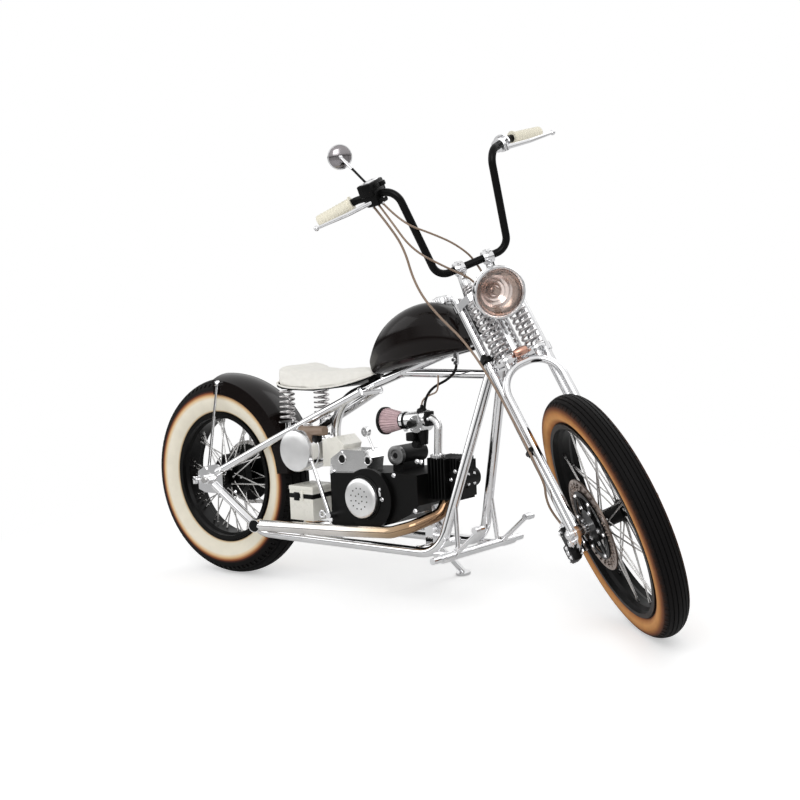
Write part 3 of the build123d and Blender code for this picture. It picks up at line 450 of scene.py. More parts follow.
def finishPiece(name, bm, finish, body="frame", place=None, replaced=(), sharp=34):
    bmesh.ops.recalc_face_normals(bm, faces=bm.faces)
    for face in bm.faces:
        face.smooth = True
    bm.transform(bodyToRow[body] if place is None else place)
    mesh = bpy.data.meshes.new(name)
    bm.to_mesh(mesh)
    bm.free()
    mesh.set_sharp_from_angle(angle=math.radians(sharp))
    mesh.materials.append(materials[finish])
    declarePiece(bpy.data.objects.new(name, mesh), body, replaced)


def turnedPiece(name, profile, place, steps, finish, body="frame", row=None, replaced=(), sharp=34, closed=False):
    bm = bmesh.new()
    addTurned(bm, profile, place, steps, closed)
    finishPiece(name, bm, finish, body, row, replaced, sharp)


def makeCable(name, route, thickness, finish, body="frame", replaced=(), closed=False):
    curve = bpy.data.curves.new(name, "CURVE")
    curve.dimensions = "3D"
    curve.bevel_depth = thickness / 2000
    curve.bevel_resolution = 3
    curve.resolution_u = 10
    curve.use_fill_caps = True
    line = curve.splines.new("NURBS")
    line.points.add(len(route) - 1)
    for point, spot in zip(line.points, route):
        point.co = (*(bodyToRow[body] @ Vector(spot)), 1)
    line.order_u = 3
    line.use_endpoint_u = not closed
    line.use_cyclic_u = closed
    curve.materials.append(materials[finish])
    declarePiece(bpy.data.objects.new(name, curve), body, replaced)


# Tyres: half the section from the crown to the bead, as radius and distance from the middle
rearTyre = {"steps": 176, "notchFrom": 43, "notchTo": 56, "notchAbove": 300, "notchDeep": 3.5,
            "half": ((331.5, 0), (331.3, 6), (330.9, 9), (325.5, 10), (325.3, 14), (330.1, 15), (328.4, 21),
                     (325.9, 27), (323.5, 32), (322.3, 33.6), (317, 35), (316.6, 38), (318.6, 40), (315.6, 44),
                     (310, 50), (304.6, 54.6), (297, 57.6), (288, 60.2), (278, 61.7), (268, 62), (256, 60.6),
                     (244, 57), (232, 51), (222, 44.6), (219, 42.5), (207, 42.5))}
frontTyre = {"steps": 160, "notchFrom": 29, "notchTo": 37, "notchAbove": 320, "notchDeep": 1.6,
             "half": ((347, 0), (346.9, 3), (346.7, 5), (343.2, 5.5), (343.2, 7), (346.3, 7.6), (345.2, 12),
                      (344, 15.6), (340.5, 16.2), (340.3, 17.8), (343.1, 18.4), (340.8, 23), (339.2, 25.6),
                      (336, 26.3), (335.6, 27.8), (337, 28.6), (333.2, 32.5), (328.9, 36.1), (322, 38.9),
                      (314, 40.6), (306, 41), (297, 39.4), (290, 36), (285.5, 32.4), (283, 30.5), (271, 30.5))}


def makeTyre(name, size, finish, body, replaced):
    bm = bmesh.new()
    profile = [(radius, -y) for radius, y in size["half"][:0:-1]] + list(size["half"])
    addTurned(bm, profile, Matrix.Identity(4), size["steps"], closed=True)
    bmesh.ops.recalc_face_normals(bm, faces=bm.faces)
    notched = []
    for face in bm.faces:
        middle = face.calc_center_median()
        step = round((math.atan2(middle.y, middle.x) / math.tau) * size["steps"] - 0.5)
        side = 1 if middle.z > 0 else 0
        onShoulder = size["notchFrom"] < abs(middle.z) < size["notchTo"] and middle.xy.length > size["notchAbove"]
        if onShoulder and (step + side) % 2 == 0:
            notched.append(face)
    bmesh.ops.inset_region(bm, faces=notched, thickness=0.8, depth=-size["notchDeep"], use_even_offset=True)
    finishPiece(name, bm, finish, body, bodyToRow[body] @ upAlongY, replaced, sharp=28)


makeTyre("rear_tyre_treaded", rearTyre, "rearTyreRubber", "rear_wheel", ("rear_tyre",))
makeTyre("front_tyre_treaded", frontTyre, "frontTyreRubber", "front_wheel", ("front_tyre",))
print("tyres treaded")

# Wheels' small parts: spoke nipples, the drilled disc on its black carrier, and the rear drum
nipples = {"rear": {"count": 40, "hubRadius": 40, "hubY": 34, "rimRadius": 193.5},
           "front": {"count": 36, "hubRadius": 30, "hubY": 30, "rimRadius": 257.5}}
brakeDisc = {"inner": 92, "outer": 130, "thick": 5, "y": -62, "steps": 108, "arms": 6, "carrier": 94, "hub": 40,
             "boltRings": ((88, 5), (52, 5.5)), "boltY": -64}
rearDrum = {"y": (-22, 22), "radius": 73, "ribs": 8, "bolts": 6, "boltRing": 62, "sprocketRing": 56,
            "sprocketY": 81}


def makeNipples(name, size, body):
    bm = bmesh.new()
    for n in range(size["count"]):
        side = 1 if n % 2 else -1
        lacing = 1 if n % 4 < 2 else -1
        hubAngle = math.tau * n / size["count"]
        rimAngle = hubAngle + lacing * math.radians(30)
        hub = Vector((size["hubRadius"] * math.cos(hubAngle), side * (size["hubY"] + lacing * 3),
                      size["hubRadius"] * math.sin(hubAngle)))
        seat = Vector((size["rimRadius"] * math.cos(rimAngle), side * 8, size["rimRadius"] * math.sin(rimAngle)))
        way = (hub - seat).normalized()
        addRod(bm, seat, seat + way * 13, 4.2, 3.4, sides=8)
        addRod(bm, hub, hub - way * 5, 4, 3, sides=8)
    finishPiece(name, bm, "brightSteel", body)


def makeBrakeDisc():
    bm = bmesh.new()
    radii = [brakeDisc["inner"] + (brakeDisc["outer"] - brakeDisc["inner"]) * n / 5 for n in range(6)]
    addTurned(bm, [(radius, 0) for radius in radii], Matrix.Identity(4), brakeDisc["steps"])
    drilled = []
    for face in bm.faces:
        middle = face.calc_center_median()
        step = round((math.atan2(middle.y, middle.x) / math.tau) * brakeDisc["steps"] - 0.5) % brakeDisc["steps"]
        row = int((middle.to_2d().length - radii[0]) / (radii[1] - radii[0]))
        if 0 < row < 4 and step % 4 == row % 4:
            drilled.append(face)
    bmesh.ops.inset_individual(bm, faces=drilled, thickness=0.9, depth=0)
    corners = {corner for face in drilled for corner in face.verts}
    bmesh.ops.bevel(bm, geom=list(corners), offset=1.3, offset_type="OFFSET", affect="VERTICES", segments=2,
                    profile=0.5, material=-1)
    holes = [face for face in bm.faces if len(face.verts) > 7 and face.calc_area() < 60]
    bmesh.ops.delete(bm, geom=holes, context="FACES")
    bmesh.ops.translate(bm, vec=(0, 0, brakeDisc["y"] + brakeDisc["thick"] / 2), verts=bm.verts)
    bmesh.ops.recalc_face_normals(bm, faces=bm.faces)
    bmesh.ops.solidify(bm, geom=bm.faces[:], thickness=brakeDisc["thick"])
    finishPiece("brake_disc_drilled", bm, "brownedSteel", "front_wheel", frontWheelToRow @ upAlongY,
                ("front_brake_disc",))

    carrier = bmesh.new()
    out, inner = brakeDisc["carrier"], brakeDisc["hub"]
    addTurned(carrier, [(inner + 6, -66), (inner + 6, -52), (11, -52), (11, -66)], Matrix.Identity(4), 48, closed=True)
    addTurned(carrier, [(out + 4, -60.5), (out + 4, -63.5), (out - 12, -63.5), (out - 12, -60.5)],
              Matrix.Identity(4), 72, closed=True)
    for n in range(brakeDisc["arms"]):
        turn = Matrix.Rotation(math.tau * n / brakeDisc["arms"], 4, "Z")
        addBlock(carrier, (46, 22, 5), turn @ shift((64, 0, -62)), 1.5)
    finishPiece("brake_disc_carrier", carrier, "blackPowder", "front_wheel", frontWheelToRow @ upAlongY)

    bolts = bmesh.new()
    for radius, size in brakeDisc["boltRings"]:
        addBolts(bolts, roundSpots(brakeDisc["arms"], radius, (0, brakeDisc["boltY"], 0), 0), right, size, 5)
    finishPiece("brake_disc_bolts", bolts, "brightChrome", "front_wheel")


def makeRearDrum():
    bm = bmesh.new()
    low, high = rearDrum["y"]
    radius = rearDrum["radius"]
    addTurned(bm, [(30.5, low), (radius - 8, low), (radius, low + 4), (radius, low + 8), (radius - 5, low + 9),
                   (radius - 5, low + 11), (radius, low + 12), (radius, high - 4), (radius - 6, high),
                   (30.5, high)], upAlongY, 64, closed=True)
    for n in range(rearDrum["ribs"]):
        angle = math.tau * (n + 0.5) / rearDrum["ribs"]
        addBlock(bm, (20, 4, 8), Matrix.Rotation(-angle, 4, "Y") @ shift((54, low - 1, 0)), 1)
    finishPiece("rear_drum", bm, "blackCasting", "rear_wheel")
    bolts = bmesh.new()
    for radius, y, way in ((rearDrum["boltRing"], low, right), (rearDrum["sprocketRing"], rearDrum["sprocketY"], left)):
        addBolts(bolts, roundSpots(rearDrum["bolts"], radius, (0, y, 0), 0), way, 6, 6)
    finishPiece("sprocket_and_drum_bolts", bolts, "brightChrome", "rear_wheel")


makeNipples("rear_spoke_nipples", nipples["rear"], "rear_wheel")
makeNipples("front_spoke_nipples", nipples["front"], "front_wheel")
makeBrakeDisc()
makeRearDrum()
print("wheels fitted")

# Drive chain: links laid along the loop round both sprockets
chain = {"rear": (0, 331.5, 102.5), "front": (632, 306, 36.8), "y": 78, "links": 104, "plateHigh": 6.2,
         "plateThick": 1.8, "roller": 4.6}


def chainSpot(distance):
    (rearX, rearZ, rearR), (frontX, frontZ, frontR) = chain["rear"], chain["front"]
    span = math.hypot(frontX - rearX, frontZ - rearZ)
    dip = math.atan2(frontZ - rearZ, frontX - rearX)
    spread = math.acos((rearR - frontR) / span)
    run = math.sqrt(span ** 2 - (rearR - frontR) ** 2)
    parts = [("arc", (rearX, rearZ, rearR), dip - spread, rearR * (math.tau - 2 * spread)),
             ("line", (rearX, rearZ, rearR), dip + spread, run),
             ("arc", (frontX, frontZ, frontR), dip + spread, frontR * 2 * spread),
             ("line", (frontX, frontZ, frontR), dip - spread, run)]
    distance = distance * sum(part[3] for part in parts)
    for kind, (x, z, radius), angle, length in parts:
        if distance <= length:
            break
        distance -= length
    if kind == "arc":
        angle -= distance / radius
    heading = angle - math.pi / 2
    spot = Vector((x + radius * math.cos(angle), chain["y"], z + radius * math.sin(angle)))
    if kind == "line":
        spot += Vector((math.cos(heading), 0, math.sin(heading))) * distance
    return spot, heading, sum(part[3] for part in parts)


def makeChain():
    plates = bmesh.new()
    rollers = bmesh.new()
    for n in range(chain["links"]):
        spot, heading, loop = chainSpot((n + 0.5) / chain["links"])
        pitch = loop / chain["links"]
        place = shift(spot) @ Matrix.Rotation(-heading, 4, "Y")
        out = 5.6 if n % 2 else 3.6
        for side in (1, -1):
            bmesh.ops.create_cone(plates, cap_ends=True, segments=10, radius1=1, radius2=1, depth=1,
                                  matrix=place @ shift((0, side * out, 0))
                                  @ Matrix.Rotation(math.radians(90), 4, "X")
                                  @ Matrix.Diagonal((pitch * 0.78, chain["plateHigh"], chain["plateThick"], 1)))
        start = place @ Vector((pitch / 2, -6.2, 0))
        addRod(rollers, start, place @ Vector((pitch / 2, 6.2, 0)), chain["roller"], sides=8)
    finishPiece("chain_plates", plates, "brightSteel", replaced=("drive_chain",))
    finishPiece("chain_rollers", rollers, "brownedSteel")


makeChain()
print("chain laid")

# Engine: bolt heads, disc cover, starter end and the polished casting's fittings
engine = {"caseBolts": ((817, -118, 397), (769, -118, 362), (792, -118, 284), (895, -118, 296)),
          "bodyBolts": ((877, -80, 437), (892, -80, 436)),
          "headBolts": ((1000, -57, 412), (1000, -57, 362), (984, -57, 387), (1016, -57, 387)),
          "plug": (1026, -15, 387), "plugRing": 20, "leftCover": (790, 98, 320), "leftRing": 64,
          "castingBolts": ((601, -105, 452), (565, -105, 392), (690, -105, 392)),
          "markBolt": (780, -132, 324), "mark": (775, -134, 346), "markSize": (8, 6, 26)}
# holes: rings of flush black discs on the cover's face, painted shade of the holes
discCover = {"at": (706, -132, 324), "holes": ((6, 14), (12, 32)), "holeY": -153, "holeRadius": 2.2,
             "ring": 64, "ringWire": 4, "half": ((0, 21.5), (50, 21.5), (56, 20), (60.5, 15), (60.5, 4), (0, 4))}
starterEnd = {"at": (795, -80, 450), "half": ((29.5, -12), (29.5, 2), (26, 4), (17, 4), (15, 1.5), (9, 1.5),
                                              (9, -4), (0, -4))}
# a flush black disc inside each ring stands for its recess: painted shade
castingHoles = {"spots": ((601, 432, 15, 12.5), (706, 432, 13, 10)), "face": -105, "wire": 3.2}
keySwitch = {"foot": (692, -60, 458), "neck": (668, -60, 506), "at": (663, -60, 514), "stem": 3,
             "half": ((0, -9), (13, -9), (15, -7), (15, 5), (12, 8), (5, 8), (4, 6), (0, 6))}
kick = {"shaft": (571, -117, 261), "shaftEnd": (571, -146, 261), "foot": (571, -139, 261),
        "top": (503, -139, 428), "eye": (541, -139, 262), "eyeStem": (553, -139, 262)}


def makeEngineBolts():
    bm = bmesh.new()
    addBolts(bm, engine["caseBolts"] + engine["bodyBolts"], right, 5.5, 6)
    addBolts(bm, engine["headBolts"], right, 4.5, 5)
    plug = Vector(engine["plug"])
    addBolts(bm, [plug + Vector((0, spot.x, spot.z)) for spot in roundSpots(4, engine["plugRing"])], ahead, 4, 4)
    addBolts(bm, roundSpots(6, engine["leftRing"], engine["leftCover"]), left, 5, 5)
    addBolts(bm, engine["castingBolts"], right, 4.5, 5)
    addBolt(bm, engine["markBolt"], right, 5, 6)
    addBlock(bm, engine["markSize"], shift(engine["mark"]), 1.5)
    finishPiece("engine_bolts", bm, "brightChrome")


def makeEngineCovers():
    turnedPiece("clutch_cover_stepped", discCover["half"], shift(discCover["at"]) @ downAlongY, 72,
                "satinChrome", replaced=("clutch_cover",))
    # black discs on the cover's holes are painted shade; a black ring goes round the cover's foot
    dots = bmesh.new()
    x, _, z = discCover["at"]
    for count, radius in discCover["holes"]:
        for spot in roundSpots(count, radius, (x, discCover["holeY"], z)):
            addRod(dots, spot, spot - Vector((0, 1.2, 0)), discCover["holeRadius"], sides=10)
    addRing(dots, shift(discCover["at"]) @ upAlongY, discCover["ring"], discCover["ringWire"], 64)
    finishPiece("clutch_cover_hole_shade_and_ring", dots, "blackCasting")
    turnedPiece("starter_end", starterEnd["half"], shift(starterEnd["at"]) @ downAlongY, 40,
                "greySteel")


def makeCastingFittings():
    casting = bmesh.new()
    holes = bmesh.new()
    face = castingHoles["face"]
    for x, z, radius, inner in castingHoles["spots"]:
        addRing(casting, shift((x, face, z)) @ upAlongY, radius, castingHoles["wire"])
        # black disc in the ring: painted shade of the recess
        addRod(holes, (x, face + 5, z), (x, face - 1, z), inner)
    finishPiece("casting_rings", casting, "polishedCasting")
    finishPiece("casting_recess_shade", holes, "blackRubber")
    switch = bmesh.new()
    addRod(switch, keySwitch["foot"], keySwitch["neck"], keySwitch["stem"])
    addTurned(switch, keySwitch["half"], shift(keySwitch["at"]) @ downAlongY, 32)
    finishPiece("key_switch", switch, "polishedCasting")


def makeKickLever():  # folded up against the canister
    bm = bmesh.new()
    addRod(bm, kick["shaft"], kick["shaftEnd"], 10)
    addRod(bm, kick["foot"], kick["top"], 6.5, 5.5)
    addRing(bm, shift(kick["eye"]) @ upAlongY, 10, 4.2)
    addRod(bm, kick["foot"], kick["eyeStem"], 4)
    addBall(bm, kick["top"], 8)
    finishPiece("kick_start_lever", bm, "brightChrome")


makeEngineBolts()
makeEngineCovers()
makeCastingFittings()
makeKickLever()
print("engine detailed")

# Air filter and carburettor
airFilter = {"foot": (716, -35, 547), "tip": (803, -35, 551), "footRadius": 40, "tipRadius": 23, "pleats": 26,
             "fold": 0.93, "gauze": 1.2}
carburettor = {"top": (866, -35, 566), "bowl": ((862, -30, 522), (862, -30, 482)),
               "boss": ((853, -34, 484), (853, -60, 484)), "choke": ((848, -62, 545), (848, -74, 545)),
               "blocks": (((30, 30, 26), (835, -46, 505), 4), ((14, 34, 44), (892, -35, 560), 3)),
               "cover": ((0, 0), (17, 0), (17, 12), (14, 22), (6, 26), (4, 34), (0, 34)),
               "collar": ((18, 2), (19.5, 3), (19.5, 9), (18, 10)),
               "screws": ((846, -61, 560), (878, -61, 530), (846, -61, 528)), "drain": (862, -30, 483),
               "lever": ((872, -62, 552), (880, -70, 572))}


def makeFilter():
    foot, tip = Vector(airFilter["foot"]), Vector(airFilter["tip"])
    length = (tip - foot).length
    place = aim(foot, tip)
    big, folds = airFilter["footRadius"], 2 * airFilter["pleats"]
    gauze = bmesh.new()
    addTurned(gauze, [(big, 5), (airFilter["tipRadius"], length - 8)], Matrix.Identity(4), folds)
    for corner in gauze.verts:
        if round(math.atan2(corner.co.y, corner.co.x) / math.tau * folds) % 2:
            corner.co.xy *= airFilter["fold"]
    bmesh.ops.solidify(gauze, geom=gauze.faces[:], thickness=airFilter["gauze"])
    finishPiece("filter_gauze_pleated", gauze, "filterGauze", place=bikeToRow @ place, replaced=("air_filter",),
                sharp=20)
    # end caps: the filter's real caps, whose black at the wide end also stands for the shadow along its top and bottom,
    # painted shade
    caps = bmesh.new()
    addTurned(caps, [(0, 3), (big - 8, 1), (big - 2, 0), (big + 2, 3), (big + 2, 12), (big - 1, 13), (big - 3, 9),
                     (0, 9)], place, 48)
    addTurned(caps, [(25, length - 14), (26, length - 12), (25.5, length + 8), (20, length + 8), (20, length - 14)],
              place, 48, closed=True)
    finishPiece("filter_end_bands", caps, "blackRubber")
    clamp = bmesh.new()
    addTurned(clamp, [(26, length - 8), (27.2, length - 8), (27.2, length + 2), (26, length + 2)], place, 48,
              closed=True)
    addBlock(clamp, (12, 9, 9), place @ shift((0, -29, length - 3)), 1.5)
    finishPiece("filter_clamp", clamp, "brightChrome")


def makeCarburettorDetails():
    black = bmesh.new()
    top = shift(carburettor["top"])
    addTurned(black, carburettor["cover"], top, 32)
    addRod(black, *carburettor["bowl"], 18, 15)
    addRod(black, *carburettor["boss"], 13, 11)
    addBlocks(black, carburettor["blocks"])
    addRod(black, *carburettor["choke"], 11)
    finishPiece("carburettor_top_and_bowl", black, "blackCasting")
    bright = bmesh.new()
    addTurned(bright, carburettor["collar"], top, 32, closed=True)
    addBolts(bright, carburettor["screws"], right, 3.6, 4)
    addBolt(bright, carburettor["drain"], down, 6, 7)
    addRod(bright, *carburettor["lever"], 3)
    for side in (1, -1):  # intake flange on the head, and the pipe's flange
        addBolt(bright, (928 + side * 15, -45 - side * 3, 456), up, 4.5, 5)
        addBolt(bright, (898, -35 + side * 13, 560), ahead, 4, 4)
    finishPiece("carburettor_screws", bright, "brightChrome")


makeFilter()
makeCarburettorDetails()

# Held hoses and cables: the routes are the solids' own, but for the carburettor's cable, which has none
fuelRoute = ((1000, -34, 721.9), (1000, -34, 690), (880, -42, 640), (880, -40, 580))
tankCableRoute = ((866, -35, 598), (868, -36, 615), (905, -40, 632), (932, -42, 640), (938, -42, 668),
                  (936, -40, 690))
brakeRoute = ((136, -210, 1402), (140, -195, 1330), (118, -178, 1250), (80, -188, 1160), (65, -176, 1072),
              (60, -112, 900), (60, -104, 499), (10, -112, 462), (-41, -103, 420), (-41, -90, 371))
throttleRoute = ((150, -197, 1396), (172, -190, 1323), (140, -166, 1227), (90, -88, 1157), (22, -12, 1112),
                 (22, -12, 1068.6))
wiringRoute = ((158, -187, 1391), (178, -168, 1300), (120, -88, 1256), (80, -29, 1213), (14, 20, 1165),
               (14, 20, 1068.6))
ferrules = {"routes": ((brakeRoute, 6), (throttleRoute, 5.2), (wiringRoute, 5.2)), "length": 16, "inside": 2}
clips = {"heights": (592, 885), "legY": -84, "radius": 16.5, "half": 9, "arm": (64, 12, 12), "armAt": (32, -100)}
makeCable("fuel_line", fuelRoute, 8, "blackRubber", replaced=("fuel_hose",))
makeCable("carburettor_cable", tankCableRoute, 5, "tanSheath")
makeCable("brake_line", brakeRoute, 7, "tanSheath", "fork", ("brake_hose",))
makeCable("throttle_cable", throttleRoute, 6, "tanSheath", "fork", ("control_cables",))
makeCable("switch_wiring", wiringRoute, 6, "tanSheath", "fork")


def makeCableEnds():
    ends = bmesh.new()
    for route, radius in ferrules["routes"]:
        for spot, following in ((route[0], route[1]), (route[-1], route[-2])):
            way = (Vector(following) - Vector(spot)).normalized()
            addRod(ends, Vector(spot) - way * ferrules["inside"], Vector(spot) + way * ferrules["length"], radius,
                   radius * 0.8, sides=12)
    finishPiece("cable_ferrules", ends, "brightChrome", "fork")
    rubber = bmesh.new()
    for height in clips["heights"]:
        leg = Vector((0, clips["legY"], height))
        addRod(rubber, leg - Vector(up) * clips["half"], leg + Vector(up) * clips["half"], clips["radius"])
        addBlock(rubber, clips["arm"], shift((*clips["armAt"], height)), 3)
    finishPiece("hose_clips", rubber, "blackRubber", "fork")


makeCableEnds()
print("hoses and cables run")

# Handlebar: chrome clamps and risers, ribbed grips, switch block, levers
bar = {"clampX": 1082, "clampZ": 1019, "clampY": 45, "riserFoot": (-14, 0, 1066.5), "spot": (1053, 193, 1298.5),
       "bend": (1104, 146, 1300), "gripFrom": (1002, 240, 1297), "gripTo": (952, 345, 1276),
       "leverEnd": (998, 374, 1266), "ribs": 9,
       "clamp": ((18.4, -15), (19.6, -13), (19.6, 13), (18.4, 15), (11, 15), (11, -15))}
switchBlock = {"turn": 42, "blocks": (((46, 72, 36), (-4, -4, 22), 4), ((44, 54, 46), (-2, -2, -4), 5),
                                      ((14, 16, 14), (26, 24, 28), 3)),
               "lid": (30, 52, 4), "lidAt": (-4, -4, 40), "lidScrews": 19, "button": (19, 16, -6)}


def sided(spot, side):
    return Vector((spot[0], spot[1] * side, spot[2]))


def makeBarClamps():
    bm = bmesh.new()
    foot = forkStraight @ Vector(bar["riserFoot"])
    for side in (1, -1):
        y = side * bar["clampY"]
        top = Vector((bar["clampX"], y, bar["clampZ"]))
        addTurned(bm, bar["clamp"], shift(top) @ upAlongY, 40, closed=True)
        low = Vector((foot.x, y, foot.z))
        addRod(bm, low, low.lerp(top, 0.85), 13.2, 12.6, sides=28)
        addBolts(bm, [top + Vector((reach, 0, 13)) for reach in (-12, 12)], up, 5, 7)
    finishPiece("bar_clamps", bm, "brightChrome", "fork", barsToRow)


def makeGrips():
    bm = bmesh.new()
    for side in (1, -1):
        start, end = sided(bar["gripFrom"], side), sided(bar["gripTo"], side)
        way = (end - start).normalized()
        start, end = start + way * 14, end + way * 6
        length = (end - start).length
        profile = [(11.05, 0), (20, 0), (21, 1.5), (21, 4), (17.5, 6)]
        for n in range(bar["ribs"]):
            at = 10 + n * (length - 18) / bar["ribs"]
            profile += [(16.2, at), (17.4, at + 2.2), (17.4, at + 6), (16.2, at + 8)]
        profile += [(17.2, length - 6), (17, length), (14, length + 4), (0, length + 4)]
        addTurned(bm, profile, aim(start, end), 36)
    finishPiece("grips_ribbed", bm, "creamRubber", "fork", barsToRow, ("grips",))


def addLever(bm, side):
    spot = sided(bar["spot"], side)
    pivot = spot + Vector((12, side * 12, -12))
    tip = sided(bar["leverEnd"], side)
    middle = pivot.lerp(tip, 0.45) + Vector((8, side * 4, -2))
    half = Vector((0, 0, 9))
    addRod(bm, pivot, middle, 7, 6)
    addBall(bm, middle, 6)
    addRod(bm, middle, tip, 6, 4.4)
    addBall(bm, tip, 8)
    addRod(bm, pivot + half, pivot - half, 8)
    addBolt(bm, pivot + half, up, 5, 5)


def makeHandControls():
    black = bmesh.new()
    chrome = bmesh.new()
    rightSpot, leftSpot = sided(bar["spot"], -1), sided(bar["spot"], 1)
    turn = Matrix.Rotation(math.radians(switchBlock["turn"]), 4, "Z")
    addRod(black, rightSpot + Vector((-24, -22, 0)), rightSpot + Vector((8, 8, 0)), 20, sides=32)
    for size, offset, edge in switchBlock["blocks"]:
        addBlock(black, size, shift(rightSpot + Vector(offset)) @ turn, edge)
    lid = rightSpot + Vector(switchBlock["lidAt"])
    addBlock(chrome, switchBlock["lid"], shift(lid) @ turn, 1.5)
    for step in (-switchBlock["lidScrews"], switchBlock["lidScrews"]):
        addBolt(chrome, turn @ Vector((0, step, 0)) + lid + Vector(up), up, 3.4, 3)
    addBolt(chrome, rightSpot + Vector(switchBlock["button"]), (0.74, 0.67, 0), 5, 5)
    addRod(chrome, leftSpot + Vector((-24, 22, 0)), leftSpot + Vector((8, -8, 0)), 19.5, sides=32)
    perch = (Vector(bar["gripFrom"]) - Vector(bar["bend"])).normalized()
    addRod(chrome, leftSpot + perch * 16, leftSpot + perch * 24, 25, sides=40)
    addRing(chrome, aim(leftSpot + perch * 24, leftSpot + perch * 30), 20, 3)
    for side in (1, -1):
        addLever(chrome, side)
    finishPiece("switch_block", black, "blackPowder", "fork", barsToRow, ("hand_controls",))
    finishPiece("levers_and_perches", chrome, "brightChrome", "fork", barsToRow)


makeBarClamps()
makeGrips()
makeHandControls()
print("handlebar dressed")

# Mirror and headlight
mirror = {"at": (933.5, -227, 1420), "foot": (1043, -203, 1334), "radius": 34, "rim": 2.4,
          "back": ((0, 7), (8, 7), (22, 4), (31, -1), (34, -5), (0, -5)),
          "face": ((0, -6.6), (32, -6.6), (32, -5), (0, -5))}
lamp = {"at": (1242.2, 0, 947.2), "top": 77, "backRing": (-24, 70.5, 1.6),
        "rim": ((66, 1), (67, 5), (69, 7.5), (72.5, 7.5), (74.4, 5), (74.6, 0), (74.2, -7), (73.1, -7), (73.1, 2)),
        "surround": ((65.5, -4), (62, -12), (55, -20), (46, -25), (46, -27), (56, -23), (63.5, -14), (66, -5)),
        "dish": ((46, -25), (38, -33), (28, -40), (16, -45), (0, -47), (0, -49), (17, -47), (30, -42), (40, -35),
                 (47, -27)),
        "bulb": ((0, -47), (8, -46), (8, -34), (12, -32), (12, -26), (9, -22), (0, -20)),
        "glass": ((0, 11), (20, 10.4), (40, 8), (56, 4.4), (65.8, 1), (65.8, -1), (56, 2.2), (40, 5.8),
                  (20, 8.2), (0, 8.8))}


def makeMirror():
    at = Vector(mirror["at"])
    place = shift(at) @ upAlongX
    turnedPiece("mirror_back", mirror["back"], place, 56, "mirrorBack", "fork", barsToRow, ("mirror",))
    chrome = bmesh.new()
    addRing(chrome, place @ shift((0, 0, -5)), mirror["radius"], mirror["rim"], 56)
    addBall(chrome, at + Vector((9, 0, 0)), 6)
    start = at + Vector((8, 0, 0))
    joint = start.lerp(Vector(mirror["foot"]), 0.45)
    addRod(chrome, start, joint, 4.4)
    finishPiece("mirror_rim_and_stem", chrome, "brightChrome", "fork", barsToRow)
    stem = bmesh.new()
    addRod(stem, joint, mirror["foot"], 3.4)
    finishPiece("mirror_stem_foot", stem, "blackPowder", "fork", barsToRow)
    turnedPiece("mirror_face", mirror["face"], place, 56, "mirrorGlass", "fork", barsToRow)


def makeHeadlight():
    at = Vector(lamp["at"])
    place = shift(at) @ upAlongX
    rim = bmesh.new()
    addTurned(rim, lamp["rim"], place, 96, closed=True)
    addBlock(rim, (10, 14, 12), shift(at + Vector((1, 0, lamp["top"]))), 2)
    addBolt(rim, at + Vector((7, 0, lamp["top"])), ahead, 3.4, 4)
    back, radius, wire = lamp["backRing"]
    addRing(rim, place @ shift((0, 0, back)), radius, wire, 80)
    finishPiece("headlight_rim", rim, "brightChrome", "fork", barsToRow)
    # the surround and the bulb take the reflector's darker copy, painted shade; the dish keeps the bright one
    turnedPiece("headlight_surround", lamp["surround"], place, 96, "reflectorPaintedShade", "fork", barsToRow, closed=True)
    turnedPiece("headlight_dish", lamp["dish"], place, 48, "brightReflector", "fork", barsToRow, (), 4, True)
    turnedPiece("headlight_bulb", lamp["bulb"], place, 32, "reflectorPaintedShade", "fork", barsToRow)
    turnedPiece("headlight_glass", lamp["glass"], place, 96, "lampGlass", "fork", barsToRow, ("headlight_lens",))


makeMirror()
makeHeadlight()
print("mirror and headlight made")

# Fork, ahead, left and up the steering axis: nuts on the trees, rocker pivots and the axle
fork = {"treeTop": 1068.5, "legY": 84, "legTop": 1078, "legCap": ((0, -2), (15.5, -2), (15.5, 4), (12, 7), (0, 8)),
        "pivots": (((0, 116, 300), 11), ((62, 116, 314), 11), ((127, 128, 328.1), 14)),
        "clampBolts": ((854, 13), (1057, 11)), "sleeve": ((14.1, 284), (16.5, 286), (16.5, 322), (14.1, 326)),
        "springFoot": (46, 48, 854), "springCap": (46, 48, 1108.5), "springRing": 29}
caliper = {"bolts": ((-40, -106, 300), (-40, -106, 360)), "banjo": ((-40, -90, 371), (-40, -90, 388)),
           "bleeder": ((-58, -96, 371), (-58, -96, 382)), "bodyBolts": ((14, -122, 284), (14, -122, 312)),
           "body": (((58, 24, 52), (2, -110, 296), 5), ((44, 30, 40), (-28, -104, 306), 5),
                    *(((62, 28, 3), (-4, -108, height), 1) for height in (278, 290, 302, 314)))}
copperRoll = {"at": (60, 0, 857), "half": ((0, -20), (9, -20), (12, -15), (13, 0), (12, 15), (9, 20), (0, 20))}


def makeForkNuts():
    bm = bmesh.new()
    addDomeNut(bm, (0, 0, fork["treeTop"]), up, 21, 20)
    for side in (1, -1):
        addTurned(bm, fork["legCap"], shift((0, side * fork["legY"], fork["legTop"])), 32)
        for spot, radius in fork["pivots"]:
            addDomeNut(bm, sided(spot, side), (0, side, 0), radius, 11)
        for height, front in fork["clampBolts"]:
            addBolt(bm, (front, side * fork["legY"], height), (0.9, side * 0.45, 0), 5, 6)
            addBolt(bm, (-17, side * 60, height), behind, 5, 6)
        addTurned(bm, fork["sleeve"], shift((0, side * fork["legY"], 0)), 32, closed=True)
        addRing(bm, shift(sided(fork["springFoot"], side)), fork["springRing"], 2.2, 40)
        addDomeNut(bm, sided(fork["springCap"], side), up, 11, 13)
    finishPiece("fork_nuts", bm, "brightChrome", "fork")


